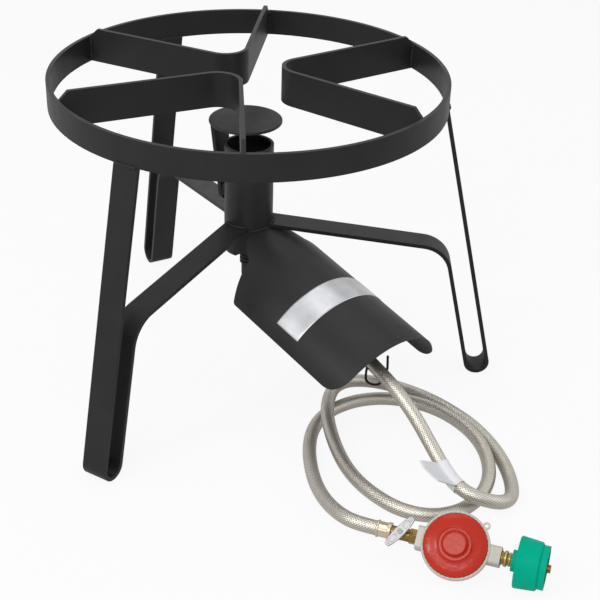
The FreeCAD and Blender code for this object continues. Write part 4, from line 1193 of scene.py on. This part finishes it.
@dataclass
class Welds:
    """Weld beads of the stand: at the supports, under the hoop and round the burner tube.

    Their lines are measured from the burner's axis. A bead stands out from a corner or a face by a
    share of its radius.
    """

    ring_radius: float = 0.2032
    ring_top: float = 0.343
    bar_width: float = 0.0275
    bar_thick: float = 0.0042
    support_half_angle: float = math.radians(32.0)
    support_corner: float = 0.017
    support_margins: tuple[float, float] = (0.002, 0.001)
    leg_angles: tuple[float, float, float] = (
        math.radians(-30), math.radians(90), math.radians(210))
    leg_share: float = 0.46
    tube_radius: float = 0.026
    strut_height: float = 0.1765
    strut_share: float = 0.92
    strap_angle: float = math.radians(120)
    strap_width: float = 0.025
    strap_bottom: float = 0.196
    strap_bead: tuple[float, float] = (0.008, 0.022)
    crown_half_angle: float = math.radians(13.0)
    crown_search: tuple[float, float] = (-0.06, 0.02)
    crown_steps: int = 801
    lean: float = 0.0002
    leg_steps: int = 30
    arc_steps: int = 40
    bead: float = 0.0017
    bead_sides: int = 10
    corner_share: float = 1 / 3
    face_share: float = 1 / 4
    upward: Point = (0.31, 0.17, 0.93)
    ripple: float = 0.0016
    ripple_height: float = 0.10
    steps_per_ripple: int = 4
    lump_lengths: tuple[float, float] = (0.0031, 0.0012)
    lump_heights: tuple[float, float] = (0.16, 0.12)

    def bead_grid(self, path: Array, seed: int) -> Array:
        """One bead: a round profile with ripples and two waves of lumps, round at its ends.

        The radius is that of the round ends times 1 + ripple + lumps, each a height times a
        cosine of the length.

        Args:
            path: Its line.
            seed: Picks its lumps.

        Returns:
            Grid of points.
        """
        path = even_path(path, self.ripple / self.steps_per_ripple)
        length = along(path)
        starts = np.random.default_rng(seed).uniform(0.0, TURN, len(self.lump_lengths))
        lumps = 1 + self.ripple_height * np.cos(TURN * length / self.ripple)
        for height, wave, start in zip(self.lump_heights, self.lump_lengths, starts):
            lumps += height * np.cos(length / wave + start)
        return tube(path, lumps * round_ends(path, self.bead), full_turn(self.bead_sides),
                    self.upward)

    def joined(self, name: str, paths: Sequence[Array], shop: Workshop) -> bpy.types.Object:
        """One piece of many beads.

        Args:
            name: The piece's name.
            paths: The beads' lines.
            shop: Makes the piece.

        Returns:
            The piece.
        """
        grids = [self.bead_grid(path + burner_place(), seed) for seed, path in enumerate(paths)]
        return shop.piece(name, grids, "black_bar")

    def upright(self, radius: float, angle: float, low: float, high: float) -> Array:
        """Ends of a line that stands at a distance and an angle from the axis, and leans a little.

        Args:
            radius: The distance.
            angle: The angle.
            low: Height of its lower end.
            high: Height of its upper end.

        Returns:
            Two points.
        """
        x, y = radius * circle(angle)
        return np.array([(x, y, low), (x + self.lean, y, high)])

    @staticmethod
    def arc(radius: float, angles: Array, height: float) -> Array:
        """Points of a level arc about the axis."""
        return np.column_stack([radius * circle(angles), np.full(len(angles), height)])

    def support_lines(self) -> list[Array]:
        """Upright lines in the corners between the supports' ends and the hoop.

        Returns:
            The lines.
        """
        inside = self.ring_radius - self.bar_thick
        out = self.corner_share * self.bead
        low = self.ring_top - self.bar_width + self.support_margins[0]
        high = self.ring_top - self.support_margins[1]
        lines = []
        for leg, way, side in product(self.leg_angles, BOTH_WAYS, BOTH_WAYS):
            end = inside * circle(way * self.support_half_angle)
            arm = unit(end - (self.support_corner, 0.0))
            aside = side * (self.bar_thick / 2 + out)
            x, y = end + aside * np.array([-arm[1], arm[0]])
            lines.append(self.upright(inside - out, leg + math.atan2(y, x), low, high))
        return lines

    def leg_lines(self) -> list[Array]:
        """Arcs under the hoop along the tops of the legs, outside and inside.

        Returns:
            The lines.
        """
        across = np.linspace(-self.leg_share, self.leg_share, self.leg_steps) * self.bar_width
        return [self.arc(radius, leg + across / radius, self.ring_top - self.bar_width)
                for leg, radius in product(
                    self.leg_angles, (self.ring_radius, self.ring_radius - self.bar_thick))]

    def strut_lines(self) -> list[Array]:
        """Arcs round the burner tube, over and under each strut.

        Returns:
            The lines.
        """
        half = self.strut_share * math.asin(self.bar_width / 2 / self.tube_radius)
        turn = np.linspace(-half, half, self.arc_steps)
        out = self.corner_share * self.bead
        return [self.arc(self.tube_radius + out, leg + turn,
                         self.strut_height + way * (self.bar_thick / 2 + out))
                for leg, way in product(self.leg_angles, BOTH_WAYS)]

    def strap_lines(self) -> list[Array]:
        """Upright lines on the burner tube along both edges of the strap's foot.

        Returns:
            The lines.
        """
        half = math.asin(self.strap_width / 2 / self.tube_radius)
        low, high = (self.strap_bottom + end for end in self.strap_bead)
        out = self.face_share * self.bead
        return [self.upright(self.tube_radius + out, angle, low, high)
                for angle in (self.strap_angle - half, self.strap_angle + half)]

    def shield_line(self, shield: Shield) -> Array:
        """Line where the shield's crown meets the burner tube, found among points of the sheet.

        Args:
            shield: The shield's surface.

        Returns:
            Points of the line.
        """
        lengthwise = np.linspace(*self.crown_search, self.crown_steps)
        around = np.linspace(-self.crown_half_angle, self.crown_half_angle, self.arc_steps)
        sheet = shield.surface(lengthwise, around, self.face_share * self.bead)
        ahead = sheet[..., :2] @ circle(shield.yaw)
        miss = np.abs(np.hypot(sheet[..., 0], sheet[..., 1]) - self.tube_radius) + (ahead < 0)
        return sheet[miss.argmin(0), np.arange(len(around))]

    def build(self, shop: Workshop, shield: Shield) -> None:
        """Make the groups of beads.

        Args:
            shop: Makes the pieces.
            shield: The shield's surface.
        """
        self.joined("support_welds", self.support_lines(), shop)
        self.joined("leg_welds", self.leg_lines(), shop)
        self.joined("strut_welds", self.strut_lines(), shop)
        self.joined("tube_welds", [*self.strap_lines(), self.shield_line(shield)], shop)


@dataclass(frozen=True)
class Lamp:
    """A square lamp: where it stands, how wide it is, and its watts."""

    name: str
    place: Point
    size: float
    power: float


@dataclass
class Studio:
    """Camera, floor and lamps."""

    lens: float = 77.865
    sensor: float = 36.0
    eye: Point = (-0.55892, -1.1152, 0.8086)
    turn: Point = (math.radians(59.6058), math.radians(-1.5483), math.radians(-28.3746))
    floor_size: float = 30.0
    floor_colour: Colour = (0.8, 0.8, 0.8)
    floor_roughness: float = 0.9
    floor_white: float = 0.9
    floor_mirrored: float = 0.4
    sky_colour: Colour = (1.0, 1.0, 1.0)
    sky: float = 0.36
    sky_mirrored: float = 1.0
    target_height: float = 0.2
    lamps: tuple[Lamp, ...] = (
        Lamp("key", (-1.3, -1.2, 1.9), 1.2, 22.0), Lamp("side", (-1.45, -0.30, 1.25), 0.32, 6.5),
        Lamp("fill", (1.6, -1.0, 1.2), 1.2, 6.0), Lamp("top", (0.2, 0.6, 2.2), 1.4, 9.0))

    def camera(self) -> None:
        """Set the camera where the photograph was taken from."""
        data = bpy.data.cameras.new("camera")
        data.lens = self.lens
        data.sensor_width = self.sensor
        made = bpy.data.objects.new("camera", data)
        made.location = Vector(np.array(self.eye) + burner_place())
        made.rotation_euler = Euler(self.turn)
        bpy.context.scene.collection.objects.link(made)
        bpy.context.scene.camera = made

    def seen(self, net: NodeTree, mirrored: float) -> Socket:
        """Share of white for rays that show the background, from the camera or by a reflection.

        Args:
            net: The tree of the floor or the sky.
            mirrored: The share for reflections and glass, against 1 for the camera.

        Returns:
            The share, 0 for rays that only light the object.
        """
        ray = net.add("LightPath").outputs
        through = net.math("MAXIMUM", ray["Is Glossy Ray"], ray["Is Transmission Ray"])
        return net.math("MAXIMUM", ray["Is Camera Ray"], net.math("MULTIPLY", through, mirrored))

    def floor(self) -> None:
        """Pale floor that keeps a soft shadow and otherwise looks white."""
        half = self.floor_size / 2
        mesh = bpy.data.meshes.new("floor")
        mesh.from_pydata([(-half, -half, 0), (half, -half, 0), (half, half, 0), (-half, half, 0)],
                         [], [(0, 1, 2, 3)])
        made, net, shader = start_material("floor")
        net.feed(shader, {"Base Color": self.floor_colour, "Roughness": self.floor_roughness})
        white = net.math("MULTIPLY", self.seen(net, self.floor_mirrored), self.floor_white)
        mixed = net.add("MixShader", {0: white, 1: shader.outputs[0],
                                      2: net.add("Emission").outputs[0]})
        net.feed(made.node_tree.nodes["Material Output"], {0: mixed.outputs[0]})
        mesh.materials.append(made)
        floor = bpy.data.objects.new("floor", mesh)
        bpy.context.scene.collection.objects.link(floor)

    def light(self) -> None:
        """Soft lamps and a pale sky, which is white where it is seen."""
        target = Vector(burner_place()) + Vector((0.0, 0.0, self.target_height))
        for lamp in self.lamps:
            data = bpy.data.lights.new(lamp.name, "AREA")
            data.size = lamp.size
            data.energy = lamp.power
            made = bpy.data.objects.new(lamp.name, data)
            made.location = lamp.place
            made.rotation_euler = (target - made.location).to_track_quat("-Z", "Y").to_euler()
            bpy.context.scene.collection.objects.link(made)
        world = bpy.data.worlds.new("studio")
        world.use_nodes = True
        net = NodeTree(world.node_tree)
        strength = net.math("MAXIMUM", self.seen(net, self.sky_mirrored), self.sky)
        net.feed(world.node_tree.nodes["Background"],
                 {"Color": self.sky_colour, "Strength": strength})
        bpy.context.scene.world = world

    def build(self) -> None:
        """Set up the whole studio."""
        self.camera()
        self.floor()
        self.light()
        bpy.context.scene.view_settings.view_transform = "Standard"


def main() -> None:
    """Build the studio, dress the solids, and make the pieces."""
    logging.basicConfig(level=logging.INFO, format="%(message)s")
    shop = Workshop()
    Studio().build()
    shop.dress_nodes()
    hose = Hose()
    braided = hose.build(shop)
    ferrules = [Ferrule().build(shop, node, ends)
                for node, ends in zip(("burner_ferrule", "valve_ferrule"), hose.ends())]
    regulator = Regulator()
    fittings = [regulator.build_cover(shop), regulator.build_teeth(shop),
                regulator.build_nipple(shop), *Handle().build(shop), Flag().build(shop, hose)]
    WireTie().build(shop)
    shield = Shield()
    shield.build(shop)
    Welds().build(shop, shield)


if __name__ == "__main__":
    main()
